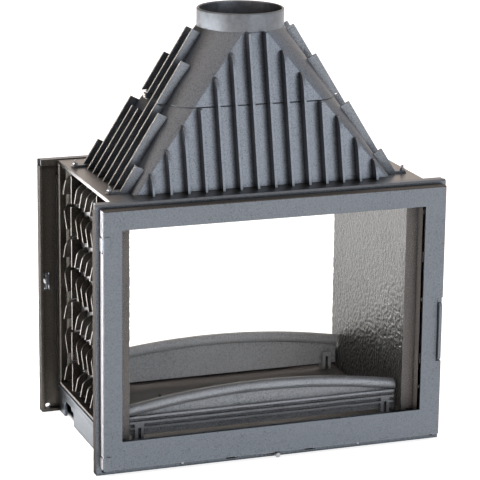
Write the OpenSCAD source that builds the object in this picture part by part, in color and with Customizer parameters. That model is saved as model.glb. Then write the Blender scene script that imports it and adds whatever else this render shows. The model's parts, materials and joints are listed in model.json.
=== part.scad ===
// Double-sided cast-iron fireplace insert with a finned smoke hood and two glazed doors.
// Millimetres. Z is up, the floor is Z = 0, X runs along the doors, the front looks towards -Y.
// The doors, frames and fire bed are alike front and rear by half a turn about Z, and the hood's two
// sides are mirror images.

/* [Frames] */
// Width of each door frame
frame_w = 830; // [790:5:900]
// Height of each door frame
frame_h = 620; // [600:5:700]
// Distance between the front faces of the two door frames
frame_depth = 480; // [460:5:560]
// Depth of the frame casting, rim included
frame_t = 24; // [20:1:30]
// Thickness of the frame's face plate
face_t = 10; // [8:1:12]
// Thickness of the rim that turns back round the face plate
rim_t = 6; // [4:1:8]
// Height of the solid bar along the top of the frame
top_bar_h = 15; // [10:1:20]
// How far the top bar stands in from the frame's ends
top_bar_inset = 3; // [1:1:6]
// Bevel on the upper front edge of the frame
frame_bevel = 4; // [2:1:6]
// How far the frame reaches past the side casings
overhang = 43; // [40:1:50]
// Width of the ring cast behind the frame's opening
ring_w = 14; // [12:1:18]
// Height of the frame's opening above the floor
opening_z = 68; // [64:1:76]
// Height of the frame's opening
opening_h = 500; // [440:5:510]

/* [Doors] */
// Width of frame left showing round the door
door_margin = 9; // [7:1:12]
// Height of the sill left showing under the door
sill_h = 18; // [17:1:22]
// Gap between the back of the door and the face of the frame
door_gap = 2; // [1.5:0.5:3]
// Thickness of the door casting
door_t = 24; // [22:1:30]
// Width of the door's side rails
side_rail = 46; // [44:1:56]
// Width of the door's top rail
top_rail = 47; // [44:1:60]
// Width of the door's bottom rail
bottom_rail = 61; // [58:1:74]
// How far the rails' faces slope back towards the glass
rail_slope = 9; // [5:1:12]
// Chamfer round the outer edge of the door
door_chamfer = 2; // [1:0.5:4]
// Thickness of the glass
glass_t = 4; // [4:1:5]
// How far the glass reaches under the rails
glass_lap = 10; // [8:1:12]
// Thickness of the flat gasket between glass and door
gasket_t = 2; // [1:0.5:3]
// Width of the rope seal's groove in the back of the door
rope_w = 8; // [7:1:9]
// Depth of the rope seal's groove
rope_groove = 7; // [5:1:8]
// Thickness of the clips that hold the glass
clip_t = 2; // [1.5:0.5:2.5]

/* [Hinges] */
// Radius of the hinge pins
hinge_pin_r = 4; // [3.5:0.25:4.5]
// Radius of the lugs that carry the hinge pins
hinge_lug_r = 7; // [6.5:0.25:8]
// Radial play of the door on its hinge pins
hinge_play = 0.08; // [0.05:0.01:0.1]
// Height of the lower lug's top above the floor
low_lug_top = 45; // [42:1:60]
// Height of the lower lug
low_lug_h = 26; // [24:1:30]
// Height of the upper lug
high_lug_h = 31; // [24:1:36]
// Distance from the top of the door down to the upper lug
high_lug_drop = 62; // [55:1:80]
// Thickness of the washer that the door turns on
hinge_washer_t = 4; // [3:0.5:5]
// How far each pin reaches into the door
hinge_pin_reach = 28; // [20:1:34]

/* [Latches] */
// Height of the latch pivot above the floor
latch_z = 322; // [260:2:360]
// Length of the grip below the pivot
grip_drop = 119; // [90:1:130]
// Length of the grip above the pivot
grip_rise = 15; // [12:1:18]
// Depth of the grip from front to back
grip_d = 12; // [10:1:14]
// Thickness of the latch lever
lever_t = 7; // [6:1:8]
// Radius of the latch pivot pin
latch_pin_r = 4; // [3:0.5:4.5]
// How far the lever's hook nose rises above the pivot
nose_rise = 19; // [17:1:21]

/* [Air slides] */
// Length of the cover strip in each sill
strip_l = 437; // [400:1:460]
// Height of the cover strip
strip_h = 13; // [12:0.5:14]
// Thickness of the cover strip
strip_t = 2.5; // [2:0.5:3]
// Distance from the middle to each air window
window_x = 95; // [80:1:130]
// Width of each air window in the strip
window_w = 27; // [24:1:30]
// Height of the air windows
window_h = 7; // [5:0.5:8]
// Travel of the air slide each way
slide_travel = 13; // [11:0.5:14]
// Length of the air slide
slide_l = 290; // [270:2:310]
// Radius of the air knob
knob_r = 6.5; // [5:0.5:7]
// Length of the air knob
knob_l = 15; // [12:1:20]

/* [Body] */
// Thickness of the side casings' plate
casing_t = 8; // [6:1:10]
// Thickness of the hammered side liners
liner_t = 12; // [10:1:14]
// Height of the base skirt
skirt_h = 70; // [68:1:76]
// Thickness of the base skirt's walls
skirt_t = 8; // [6:1:10]
// Width of each foot at the ends of the skirt
foot_w = 44; // [34:1:54]
// Width of the notch beside each foot
notch_w = 78; // [60:1:90]
// Height of the notch beside each foot
notch_h = 34; // [28:1:36]
// Height of the upper face of the hearth plate
hearth_z = 52; // [51:1:53]
// Thickness of the hearth plate
hearth_t = 8; // [6:1:9]
// Thickness of the floor of the base
floor_t = 6; // [5:1:7]
// Thickness of the top plate
top_plate_t = 8; // [6:1:12]
// How far the top plate lies below the top of the frames
top_drop = 2; // [1:1:4]

/* [Casing fins] */
// Distance between the columns of fins
fin_pitch = 41; // [39:1:43]
// Thickness of the fins
fin_t = 5.5; // [4:0.5:6.5]
// How far the casing fins stand out from the recessed plate
casing_fin_out = 22; // [18:1:24]
// Number of rows of slanted fins
fin_rows = 7; // [5:1:8]
// Height of one row of fins
row_pitch = 75.5; // [70:0.5:77]
// Height of a slanted fin
fin_rise = 54; // [44:1:60]
// Sideways lean of a slanted fin
fin_lean = 30; // [20:1:34]
// Gap between the upright ribs of neighbouring rows
rib_gap = 8; // [4:1:14]
// How far the upright ribs stand to the left and right of their line by turns
rib_shift = 1.5; // [0:0.5:3]

/* [Hood] */
// Width of top plate left beside the hood
hood_side_ledge = 64; // [57:1:80]
// Width of top plate left in front of and behind the hood
hood_front_ledge = 46; // [38:1:56]
// Height of the hood below the collar
hood_h = 337; // [300:1:380]
// Height of the seam between the two hood castings
seam_h = 179; // [150:1:200]
// Thickness of the hood's walls
hood_wall = 8; // [6:1:9]
// How far the fins stand out from the front and rear of the hood
hood_fin_out = 24; // [18:1:28]
// How far the fins stand out from the sides of the hood
side_fin_out = 25; // [18:1:28]
// Number of fins on each half of the hood's front
front_fin_pairs = 7; // [5:1:7]
// Number of fins on each half of the hood's sides
side_fin_pairs = 4; // [3:1:4]
// Outer radius of the flue collar
collar_r = 100; // [90:1:104]
// Thickness of the flue collar's wall
collar_wall = 6; // [5:1:8]
// Height of the flue collar
collar_h = 41; // [38:1:80]
// Length of the smoke baffle
baffle_l = 430; // [380:5:450]
// Width of the smoke baffle
baffle_w = 186; // [160:2:200]
// Thickness of the smoke baffle
baffle_t = 8; // [6:1:10]
// Height of the lips along the smoke baffle
baffle_lip_h = 20; // [12:1:24]
// Distance from the middle to each bar under the smoke baffle
baffle_bar_x = 150; // [100:1:180]
// Width of each bar under the smoke baffle
baffle_bar_w = 25; // [16:1:30]

/* [Fire bed] */
// Distance from the back of a frame in to its log retainer
retainer_in = 34; // [30:1:44]
// Gap between each end of a log retainer and the liner
retainer_gap = 5; // [3:1:20]
// Height of the lower edge of a log retainer
retainer_z = 66; // [64:1:70]
// Height of the top of a log retainer at its ends
retainer_end_z = 136; // [125:1:150]
// Height of the top of a log retainer in its middle
retainer_mid_z = 166; // [155:1:185]
// Thickness of a log retainer's plate
retainer_t = 9; // [8:1:11]
// Radius of the bead along the top of a log retainer
bead_r = 13; // [9:0.5:14]
// Distance from the end of a log retainer to the middle of its foot
retainer_foot_in = 25; // [20:1:50]
// Length of the fire grate
grate_l = 320; // [280:2:360]
// Width of the fire grate
grate_w = 200; // [180:2:220]
// Thickness of the fire grate
grate_t = 10; // [8:1:14]
// Height of the ash pan
ash_h = 28; // [20:1:31]

/* [Hidden] */
$fn = 48;
eps = 0.01;

// Faces that the pieces share, measured on the front half
face_y = -frame_depth / 2;
frame_back_y = face_y + frame_t;
body_x = frame_w / 2 - overhang;
opening_x = body_x - 12;
opening_top = opening_z + opening_h;
top_z = frame_h - top_drop;
casing_top = top_z - top_plate_t;
casing_x = body_x - casing_fin_out;
liner_x = casing_x - casing_t - liner_t;
flange_d = 10;
rows = min(fin_rows, floor((casing_top - skirt_h) / row_pitch));
rib_y = 2.5 * fin_pitch;
end_fin_y = rib_y + 1.3 * fin_pitch;
screw_r = 2.5;
screw_head_r = 4.8;
screw_head_t = 3;
screw_end = 60;
screw_x = body_x - 6;
seat_gap = 0.3;

// Door
door_x = frame_w / 2 - door_margin;
door_top = frame_h - door_margin;
door_back_y = face_y - door_gap;
door_front_y = door_back_y - door_t;
glass_x = door_x - side_rail;
glass_z0 = sill_h + bottom_rail;
glass_z1 = door_top - top_rail;
clip_floor_y = door_back_y - 4;
glass_y0 = clip_floor_y - glass_t;
rebate_y = glass_y0 - gasket_t;
clip_pocket = 6;
clip_w = 24;
clip_screw_r = 2.5;
rope_in = glass_lap + clip_pocket + 4;

// Hinges: the axis stands inside the door's left edge
hinge_x = -(door_x - hinge_lug_r);
hinge_y = door_back_y - 12;
lug_web = 7;
high_lug_top = door_top - high_lug_drop;
lug_notch = hinge_x + hinge_lug_r + 2;
bore_r = hinge_pin_r + hinge_play;
washer_gap = 0.2;

// Latch: the lever turns about an axis along X near the door's right edge
latch_y = hinge_y - 1;
lever_x0 = door_x - 12;
lever_x1 = lever_x0 + lever_t;
boss_r = 9;
grip_y0 = door_front_y - 8;
hook_y = face_y + face_t + 5;
nose_w = 8;
arm_low = 7;
slot_top = latch_z + nose_rise + 1;
slot_low = latch_z - 23;
notch_z0 = latch_z - grip_drop - 7;
notch_z1 = latch_z + grip_rise + 11;

// Air slide
strip_z = sill_h / 2;
strip_recess = 6;
slide_t = strip_recess - strip_t - 0.6;
port_w = window_w - 1;
knob_slot = 2 * slide_travel + 16;
slide_rest = 9;
knob_gap = 8;

// Hood
hood_w = 2 * (body_x - hood_side_ledge);
hood_d = 2 * (-frame_back_y - hood_front_ledge);
hood_top = top_z + hood_h;
seam_z = top_z + seam_h;
hood_corner = 12;
flat_x = 27;
flat_y = 24;
stud_x = body_x - 20;
stud_y = 136;
stud_r = 3;
hood_lug_t = 5;
hood_lug_r = 9;
nut_h = 5;
front_reach = hood_w / 2 - 6.3;
front_fall = front_reach - flat_x;
side_reach = hood_d / 2 - 3;
side_fall = side_reach - 37;
fin_sweep = 34;
fin_nose = 9;
seam_bolt_y = fin_pitch;
seam_bolt_r = 3;
seam_bolt_out = 13;
seam_lug_t = 6;
bolt_room_above = 9;
bolt_room_below = 26;
collar_ledge_t = 4;
collar_ledge_w = 10;
collar_bore_r = collar_r - collar_wall;
throat_r = collar_bore_r - collar_ledge_w;
collar_screw_x = collar_bore_r - collar_ledge_w / 2;
collar_screw_r = 2;
collar_screw_l = 12;

// Hearth
retainer_x = liner_x - retainer_gap;
retainer_y = -frame_back_y - retainer_in;
retainer_foot_x = retainer_x - retainer_foot_in;
ledge_w = 12;
end_wall_y = frame_back_y + skirt_t;
air_hole_w = 120;
air_hole_z0 = 14;
air_hole_z1 = 34;
throat_in = 20;
grate_clear = 1;
grate_slot = 10;
grate_margin = 18;
pan_in = 15;
tab_t = 6;
tab_h = 32;
foot_x = 22;
foot_d = 24;
foot_h = 30;
rib_out = 7;
rib_w = 5;
rib_rise = 18;
rib_pitch = 13;

// Colours
iron_grey = [0.42, 0.46, 0.50];
iron_dark = [0.20, 0.19, 0.18];
liner_grey = [0.40, 0.40, 0.41];
steel = [0.70, 0.71, 0.72];
rope_grey = [0.25, 0.25, 0.25];
clear = [0.75, 0.85, 0.88, 0.3];

module block(x0, x1, y0, y1, z0, z1)
    translate([x0, y0, z0]) cube([x1 - x0, y1 - y0, z1 - z0]);

module mid_block(w, y0, y1, z0, z1) block(-w / 2, w / 2, y0, y1, z0, z1);

module half_turn() rotate([0, 0, 180]) children();

module both_sides() {
    children();
    mirror([1, 0, 0]) children();
}

module both_halves() {
    children();
    half_turn() children();
}

module rod_x(x0, x1, y, z, r) translate([x0, y, z]) rotate([0, 90, 0]) cylinder(r = r, h = x1 - x0);

module rod_y(x, y0, y1, z, r) translate([x, y1, z]) rotate([90, 0, 0]) cylinder(r = r, h = y1 - y0);

module rod_z(x, y, z0, z1, r) translate([x, y, z0]) cylinder(r = r, h = z1 - z0);

// A prism along X from an outline drawn as [Y, Z] points
module prism_x(x0, x1, outline)
    translate([x0, 0, 0]) rotate([90, 0, 90]) linear_extrude(x1 - x0) polygon(outline);

// A prism along Y from an outline drawn as [X, Z] points
module prism_y(y0, y1, outline)
    translate([0, y1, 0]) rotate([90, 0, 0]) linear_extrude(y1 - y0) polygon(outline);

// Base: a ring of skirt walls with feet, a floor and a ledge for the hearth
module foot_notch() {
    y0 = -frame_back_y - foot_w - notch_w;
    y1 = -frame_back_y - foot_w;
    block(-body_x - 5, body_x + 5, y0, y1, -1, notch_h);
    prism_x(-body_x - 5, body_x + 5, [[y0 + 14, notch_h - 1], [y1 - 10, notch_h - 1],
        [y1 - 10, notch_h + 7], [y0 + 22, notch_h + 7]]);
}

module skirt_side() {
    block(-body_x, -body_x + skirt_t, frame_back_y, -frame_back_y, 0, skirt_h);
    block(-body_x - 3, -body_x, frame_back_y, -frame_back_y, skirt_h - 8, skirt_h - 2);
    block(-body_x + skirt_t - 1, -body_x + skirt_t + ledge_w, frame_back_y + 1, -frame_back_y - 1,
        hearth_z - hearth_t - 5, hearth_z - hearth_t);
}

module end_wall() difference() {
    mid_block(2 * body_x - 2, frame_back_y, end_wall_y, 0, hearth_z - hearth_t);
    for (side = [-1, 1])
        mid_block_at(side * window_x, air_hole_w, frame_back_y - 1, end_wall_y + 1, air_hole_z0, air_hole_z1);
}

module base_skirt() color(iron_grey) {
    difference() {
        union() {
            both_sides() skirt_side();
            both_halves() end_wall();
        }
        both_halves() foot_notch();
    }
    mid_block(2 * (body_x - skirt_t) + 2, frame_back_y + 2, -frame_back_y - 2,
        notch_h / 6, notch_h / 6 + floor_t);
}

// Hearth: a flat casting with a rebated well for the grate and a tab for each retainer foot
module hearth_plate() color(iron_dark) {
    difference() {
        mid_block(2 * (body_x - skirt_t - seat_gap), frame_back_y, -frame_back_y,
            hearth_z - hearth_t, hearth_z);
        mid_block(grate_l, -grate_w / 2, grate_w / 2, hearth_z - 4, hearth_z + 1);
        mid_block(grate_l - 24, -grate_w / 2 + 12, grate_w / 2 - 12, hearth_z - hearth_t - 1, hearth_z + 1);
    }
    both_halves() both_sides()
        block(retainer_foot_x - tab_t / 2, retainer_foot_x + tab_t / 2, -retainer_y - 5, -retainer_y + 5,
            hearth_z - 1, hearth_z + tab_h);
}

module fire_grate() color(iron_dark) {
    l = grate_l - 2 * grate_clear;
    w = grate_w - 2 * grate_clear;
    slot_pitch = 2 * grate_slot;
    slots = floor((l - 3 * grate_slot) / slot_pitch);
    translate([0, 0, hearth_z - 4]) linear_extrude(grate_t) difference() {
        square([l, w], center = true);
        for (i = [0:slots - 1], row = [-1, 1])
            translate([(i - (slots - 1) / 2) * slot_pitch, row * w / 4]) {
                square([grate_slot, w / 2 - 2 * grate_margin], center = true);
                for (end = [-1, 1]) translate([0, end * (w / 4 - grate_margin)]) circle(r = grate_slot / 2);
            }
    }
}

module ash_pan() color(steel) {
    z0 = notch_h / 6 + floor_t;
    l = grate_l - 2 * pan_in;
    w = grate_w - 2 * pan_in;
    difference() {
        mid_block(l, -w / 2, w / 2, z0, z0 + ash_h - 4);
        mid_block(l - 4, -w / 2 + 2, w / 2 - 2, z0 + 2, z0 + ash_h);
    }
}

// Side casing: a plate with columns of slanted fins that change their lean from row to row
module slant_fin(y, z, lean) {
    outline = [[y - lean / 2 - fin_t / 2, z - fin_rise / 2], [y - lean / 2 + fin_t / 2, z - fin_rise / 2],
        [y + lean / 2 + fin_t / 2, z + fin_rise / 2], [y + lean / 2 - fin_t / 2, z + fin_rise / 2]];
    prism_x(-body_x, -casing_x + 1, outline);
}

// Upright flange that the frame is screwed to, with a bevel towards the recessed plate
module casing_flange(side) {
    y = side * -frame_back_y;
    d = side * flange_d;
    translate([0, 0, skirt_h]) linear_extrude(casing_top - skirt_h)
        polygon([[-body_x, y], [-body_x, y - d + side * 3], [-body_x + 3, y - d],
            [-casing_x - 5, y - d], [-casing_x, y - d - side * 5], [-casing_x + casing_t, y - d - side * 5],
            [-casing_x + casing_t, y]]);
}

module left_casing() color(iron_dark) difference() {
    union() {
        block(-casing_x, -casing_x + casing_t, frame_back_y, -frame_back_y, hearth_z, casing_top);
        for (side = [-1, 1]) casing_flange(side);
        block(-body_x, -casing_x + 1, frame_back_y + 1, -frame_back_y - 1, skirt_h, skirt_h + 5);
        fin_rows_all();
    }
    screw_holes(-1);
}

// A row of slanted fins: their upper ends are rounded back into the plate
module fin_row(z, lean) intersection() {
    union() {
        for (column = [-2:1]) slant_fin((column + 0.5) * fin_pitch, z, lean);
        for (side = [-1, 1]) slant_fin(side * end_fin_y, z, lean);
    }
    union() {
        block(-body_x - 1, -casing_x + 2, frame_back_y, -frame_back_y, z - fin_rise, fin_round_z(z));
        rod_y(-casing_x, frame_back_y, -frame_back_y, fin_round_z(z), casing_fin_out);
    }
}

function fin_round_z(z) = z + fin_rise / 2 - casing_fin_out;

// An upright rib beside the slanted fins, one for each row
module row_rib(y, z) block(-body_x, -casing_x + 1, y - fin_t / 2, y + fin_t / 2,
    z - (row_pitch - rib_gap) / 2, z + (row_pitch - rib_gap) / 2);

module fin_rows_all() for (row = [0:rows - 1]) {
    z = casing_top - (rows - row - 0.5) * row_pitch;
    turn = (rows - row) % 2 == 0 ? 1 : -1;
    fin_row(z, turn * fin_lean);
    for (side = [-1, 1]) row_rib(side * rib_y + turn * rib_shift, z);
}

module right_casing() half_turn() left_casing();

function screw_zs() = [for (i = [0:2]) skirt_h + screw_end + i * (casing_top - skirt_h - 2 * screw_end) / 2];

module screw_holes(at) for (z = screw_zs(), side = [-1, 1])
    rod_y(at * screw_x, side * -frame_back_y - flange_d + 1, side * -frame_back_y + flange_d - 1, z, screw_r);

// Hammered liners inside the casings
module right_liner() color(liner_grey)
    block(liner_x, liner_x + liner_t, frame_back_y, -frame_back_y, hearth_z, casing_top);

module left_liner() half_turn() right_liner();

// Top plate with the throat that opens into the hood
module top_plate() color(iron_dark) difference() {
    mid_block(2 * body_x, frame_back_y, -frame_back_y, casing_top, top_z);
    mid_block(hood_w - 2 * throat_in, -hood_d / 2 + throat_in, hood_d / 2 - throat_in,
        casing_top - 1, top_z + 1);
    both_halves() both_sides() rod_z(stud_x, -stud_y, casing_top - 1, top_z + 1, stud_r);
}

// Hood: from a rectangle with rounded corners to the round collar
module hood_form(inset, over) hull() {
    translate([0, 0, top_z - over]) linear_extrude(eps) {
        square([hood_w - 2 * hood_corner, hood_d - 2 * inset], center = true);
        square([hood_w - 2 * inset, hood_d - 2 * hood_corner], center = true);
    }
    translate([0, 0, hood_top + over - eps]) linear_extrude(eps) intersection() {
        circle(r = collar_r - inset, $fn = 64);
        square([2 * sqrt(pow(collar_r, 2) - pow(flat_y, 2)) - 2 * inset,
            2 * sqrt(pow(collar_r, 2) - pow(flat_x, 2)) - 2 * inset], center = true);
    }
}

module hood_shell(z0, z1) intersection() {
    difference() {
        hood_form(0, 0);
        hood_form(hood_wall, 1);
    }
    mid_block(hood_w + 10, -hood_d, hood_d, z0, z1);
}

// Distance of the hood's sloping face from the middle at height z
function face_at(base, top, z) = base + (top - base) * (z - top_z) / hood_h;
function front_at(z) = face_at(hood_d / 2, sqrt(pow(collar_r, 2) - pow(flat_x, 2)), z);
function side_at(z) = face_at(hood_w / 2, sqrt(pow(collar_r, 2) - pow(flat_y, 2)), z);

// Front fins that end on the slope grow from a low nose to their full depth in a rounded sweep
module front_fin(x, z0, z1, open_tip) {
    sweep = open_tip ? [for (a = [90:-18:0])
        let (z = z1 - fin_sweep * (1 - cos(a))) if (z > z0)
            [-front_at(z) - fin_nose - (hood_fin_out - fin_nose) * sin(a), z]]
        : [[-front_at(z1) - hood_fin_out, z1]];
    prism_x(x - fin_t / 2, x + fin_t / 2, concat([[-front_at(z0) + 4, z0], [-front_at(z0) - hood_fin_out, z0]],
        sweep, [[-front_at(z1) + 4, z1]]));
}

// Side fins are cut off square to their slope
module side_fin(y, z0, z1) {
    at0 = side_at(z0);
    at1 = side_at(z1);
    fall = (at0 - at1) / (z1 - z0);
    cut = side_fin_out * fall / (1 + fall * fall);
    prism_y(y - fin_t / 2, y + fin_t / 2, [[-at0 + 4, z0], [-at0 - side_fin_out, z0],
        [-at1 - side_fin_out, z1], [-at1 - fall * cut, z1 - cut], [-at1 - fall * cut + 4, z1 - cut]]);
}

function front_fin_top(x) = top_z + hood_h * min(1, (front_reach - abs(x)) / front_fall);
function side_fin_top(y) = top_z + hood_h * min(1, (side_reach - abs(y)) / side_fall);

module front_fins(z0, z1) for (i = [0:front_fin_pairs - 1], side = [-1, 1]) {
    x = side * (i + 0.5) * fin_pitch;
    top = min(front_fin_top(x), z1);
    if (top > z0 + 20) front_fin(x, z0, top, top < z1);
}

// Two fins on each side stop short of the seam to leave room for its bolt
module side_fins(z0, z1) for (i = [0:side_fin_pairs - 1], side = [-1, 1]) {
    y = side * (i + 0.5) * fin_pitch;
    open = side > 0 && i < 2;
    low = z0 > top_z && open ? z0 + bolt_room_above : z0;
    high = z1 < hood_top && open ? z1 - bolt_room_below : z1;
    top = min(side_fin_top(y), high);
    if (top > low + 20) side_fin(y, low, top);
}

module seam_lug(z0, z1) difference() {
    block(-side_at(seam_z) - 20, -side_at(seam_z) + 5, seam_bolt_y - 9, seam_bolt_y + 9, z0, z1);
    rod_z(-side_at(seam_z) - seam_bolt_out, seam_bolt_y, z0 - 1, z1 + 1, seam_bolt_r);
}

module hood_foot_lug() difference() {
    union() {
        rod_z(-stud_x, stud_y, top_z, top_z + hood_lug_t, hood_lug_r);
        block(-stud_x, -hood_w / 2 + 6, stud_y - hood_lug_r, stud_y + hood_lug_r, top_z, top_z + hood_lug_t);
    }
    rod_z(-stud_x, stud_y, top_z - 1, top_z + hood_lug_t + 1, stud_r);
}

module hood_lower() color(iron_grey) {
    hood_shell(top_z, seam_z);
    both_halves() front_fins(top_z, seam_z);
    both_sides() {
        side_fins(top_z, seam_z);
        seam_lug(seam_z - seam_lug_t, seam_z);
        hood_foot_lug();
        mirror([0, 1, 0]) hood_foot_lug();
    }
}

module hood_upper() color(iron_grey) difference() {
    union() {
        hood_shell(seam_z, hood_top);
        rod_z(0, 0, hood_top - hood_wall, hood_top, collar_bore_r + 2);
        both_halves() front_fins(seam_z, hood_top);
        both_sides() {
            side_fins(seam_z, hood_top);
            seam_lug(seam_z, seam_z + seam_lug_t);
        }
    }
    rod_z(0, 0, hood_top - 12, hood_top + 1, throat_r);
    collar_screw_holes();
}

module seam_bolts() color(steel) both_sides() {
    x = -side_at(seam_z) - seam_bolt_out;
    head_z = seam_z + seam_lug_t;
    rod_z(x, seam_bolt_y, seam_z - 1.5 * seam_lug_t, head_z, seam_bolt_r);
    rod_z(x, seam_bolt_y, head_z, head_z + seam_bolt_r + 1, seam_bolt_r + 2);
}

// Collar: a tube with an inner ledge that the flue pipe rests on
module flue_collar() color(steel) difference() {
    rod_z(0, 0, hood_top, hood_top + collar_h, collar_r);
    rod_z(0, 0, hood_top + collar_ledge_t, hood_top + collar_h + 1, collar_bore_r);
    rod_z(0, 0, hood_top - 1, hood_top + collar_h, throat_r);
    collar_screw_holes();
}

module collar_screw_holes() for (a = [60:120:300]) rotate([0, 0, a])
    rod_z(collar_screw_x, 0, hood_top + collar_ledge_t - collar_screw_l, hood_top + collar_ledge_t + 1,
        collar_screw_r);

module collar_screws() color(steel) for (a = [60:120:300]) rotate([0, 0, a])
    rod_z(collar_screw_x, 0, hood_top + collar_ledge_t - collar_screw_l, hood_top + collar_ledge_t,
        collar_screw_r);

module hood_studs() color(steel) both_halves() both_sides()
    rod_z(stud_x, -stud_y, casing_top, top_z + hood_lug_t + nut_h + 7, stud_r);

module hood_nuts() color(steel) both_halves() both_sides() difference() {
    translate([stud_x, -stud_y, top_z + hood_lug_t]) cylinder(r = 6, h = nut_h, $fn = 6);
    rod_z(stud_x, -stud_y, top_z, top_z + hood_lug_t + nut_h + 1, stud_r);
}

// Baffle: a plate with two lips, on two bars across the throat
module baffle_bars() color(iron_dark) both_sides()
    mid_block_at(baffle_bar_x, baffle_bar_w, -hood_d / 2 + hood_wall + 5, hood_d / 2 - hood_wall - 5,
        top_z, top_z + baffle_t);

module smoke_baffle() color(iron_dark) {
    z0 = top_z + baffle_t;
    lip_y = (baffle_w - baffle_t) / 2;
    mid_block(baffle_l, -baffle_w / 2, baffle_w / 2, z0, z0 + baffle_t);
    for (side = [-1, 1])
        mid_block(baffle_l, side * lip_y - baffle_t / 2, side * lip_y + baffle_t / 2, z0, z0 + baffle_lip_h);
}

// Frame: a face plate with a rim and a ring behind its opening
module door_frame() color(iron_grey) difference() {
    union() {
        mid_block(frame_w, face_y, face_y + face_t, 0, frame_h);
        for (side = [-1, 1])
            block(side < 0 ? -frame_w / 2 : frame_w / 2 - rim_t, side < 0 ? -frame_w / 2 + rim_t : frame_w / 2,
                face_y + 1, frame_back_y, 0, frame_h - top_bar_h);
        mid_block(frame_w - 2 * top_bar_inset, face_y + 1, frame_back_y, frame_h - top_bar_h, frame_h);
        mid_block(frame_w, face_y + 1, frame_back_y, 0, rim_t);
        mid_block(2 * (opening_x + ring_w), face_y + 1, frame_back_y, opening_z - ring_w, opening_top + ring_w);
        hinge_lugs();
    }
    mid_block(2 * opening_x, face_y - 1, frame_back_y + 1, opening_z, opening_top);
    prism_x(-frame_w, frame_w, [[face_y - 1, frame_h - frame_bevel - 1],
        [face_y - 1, frame_h + 1], [face_y + frame_bevel + 1, frame_h + 1]]);
    mid_block(strip_l + 1, face_y - 1, face_y + strip_recess,
        strip_z - strip_h / 2 - 0.3, strip_z + strip_h / 2 + 0.3);
    for (side = [-1, 1])
        mid_block_at(side * window_x, port_w, face_y, face_y + face_t + 1,
            strip_z - window_h / 2, strip_z + window_h / 2);
    for (side = [-1, 1]) rod_y(side * (frame_w / 2 - 18), face_y - 1, face_y + face_t + 1, 11, 6);
    for (side = [-1, 1]) rod_y(side * (strip_l / 2 - 5), face_y, face_y + strip_recess + 3, strip_z, 1.5);
    block(lever_x0 - 3, lever_x1 + 4, face_y - 1, face_y + face_t + 1, slot_low, slot_top);
    for (z = screw_zs(), side = [-1, 1]) {
        rod_y(side * screw_x, face_y - 1, frame_back_y + 1, z, screw_r);
        screw_head(side * screw_x, z);
    }
    for (z = [low_lug_top, high_lug_top])
        rod_z(hinge_x, hinge_y, z - 20, z + 1, hinge_pin_r);
}

module hinge_lug(z0, z1) {
    rod_z(hinge_x, hinge_y, z0, z1, hinge_lug_r);
    block(hinge_x - lug_web, hinge_x + lug_web, hinge_y, face_y + 1, z0, z1);
}

module hinge_lugs() {
    hinge_lug(low_lug_top - low_lug_h, low_lug_top);
    hinge_lug(high_lug_top - high_lug_h, high_lug_top);
}

module front_frame() door_frame();
module rear_frame() half_turn() door_frame();

module screw_head(x, z) translate([x, face_y, z]) rotate([-90, 0, 0])
    cylinder(r1 = screw_head_r, r2 = screw_r, h = screw_head_t);

module frame_screws() color(steel) both_halves() for (z = screw_zs(), side = [-1, 1]) {
    rod_y(side * screw_x, face_y, frame_back_y + flange_d - 1, z, screw_r);
    screw_head(side * screw_x, z);
}

module air_bar() color(iron_dark)
    mid_block(strip_l - 3, frame_back_y, frame_back_y + 8, hearth_z, opening_z - 2);

module front_air_bar() air_bar();
module rear_air_bar() half_turn() air_bar();

// Sill strip, air slide and knob
module window_pair(w, extra)
    for (side = [-1, 1]) mid_block_at(side * window_x, w, face_y - 1, face_y + strip_recess + 1,
        strip_z - window_h / 2 - extra, strip_z + window_h / 2 + extra);

module mid_block_at(x, w, y0, y1, z0, z1) block(x - w / 2, x + w / 2, y0, y1, z0, z1);

module sill_strip() color(iron_grey) difference() {
    mid_block(strip_l, face_y, face_y + strip_t, strip_z - strip_h / 2, strip_z + strip_h / 2);
    window_pair(window_w, 0);
    mid_block(knob_slot, face_y - 1, face_y + strip_t + 1, strip_z - 3.5, strip_z + 3.5);
    for (side = [-1, 1]) rod_y(side * (strip_l / 2 - 5), face_y - 1, face_y + strip_t + 1, strip_z, 1.5);
}

module front_sill_strip() sill_strip();
module rear_sill_strip() half_turn() sill_strip();

module strip_screws() color(iron_dark) both_halves() for (side = [-1, 1]) {
    rod_y(side * (strip_l / 2 - 5), face_y, face_y + strip_recess + 3, strip_z, 1.5);
    rod_y(side * (strip_l / 2 - 5), face_y - 1.5, face_y, strip_z, 3.2);
}

// The slide's ports stand clear of the windows at one end of its travel and line up at the other
module air_slide() color(steel) difference() {
    y0 = face_y + strip_t + 0.3;
    mid_block_at(slide_rest, slide_l, y0, y0 + slide_t,
        strip_z - strip_h / 2 + 0.5, strip_z + strip_h / 2 - 0.5);
    for (side = [-1, 1])
        mid_block_at(slide_rest + side * window_x - slide_travel, port_w, y0 - 1, y0 + slide_t + 1,
            strip_z - window_h / 2, strip_z + window_h / 2);
}

module front_air_slide() air_slide();
module rear_air_slide() half_turn() air_slide();

// A turned knob on the slide's stem
module air_knob() color(steel) {
    rod_y(slide_rest, face_y - knob_gap, face_y + strip_t + 0.3, strip_z, 2.8);
    translate([slide_rest, face_y - knob_gap, strip_z]) rotate([90, 0, 0]) rotate_extrude()
        polygon([[0, 0], [knob_r - 2.5, 0], [knob_r - 2.5, 2], [knob_r - 0.8, 3.2], [knob_r, 4.5],
            [knob_r, knob_l - 3], [knob_r - 0.8, knob_l - 1], [knob_r - 2.5, knob_l], [0, knob_l]]);
}

module front_air_knob() air_knob();
module rear_air_knob() half_turn() air_knob();

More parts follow.
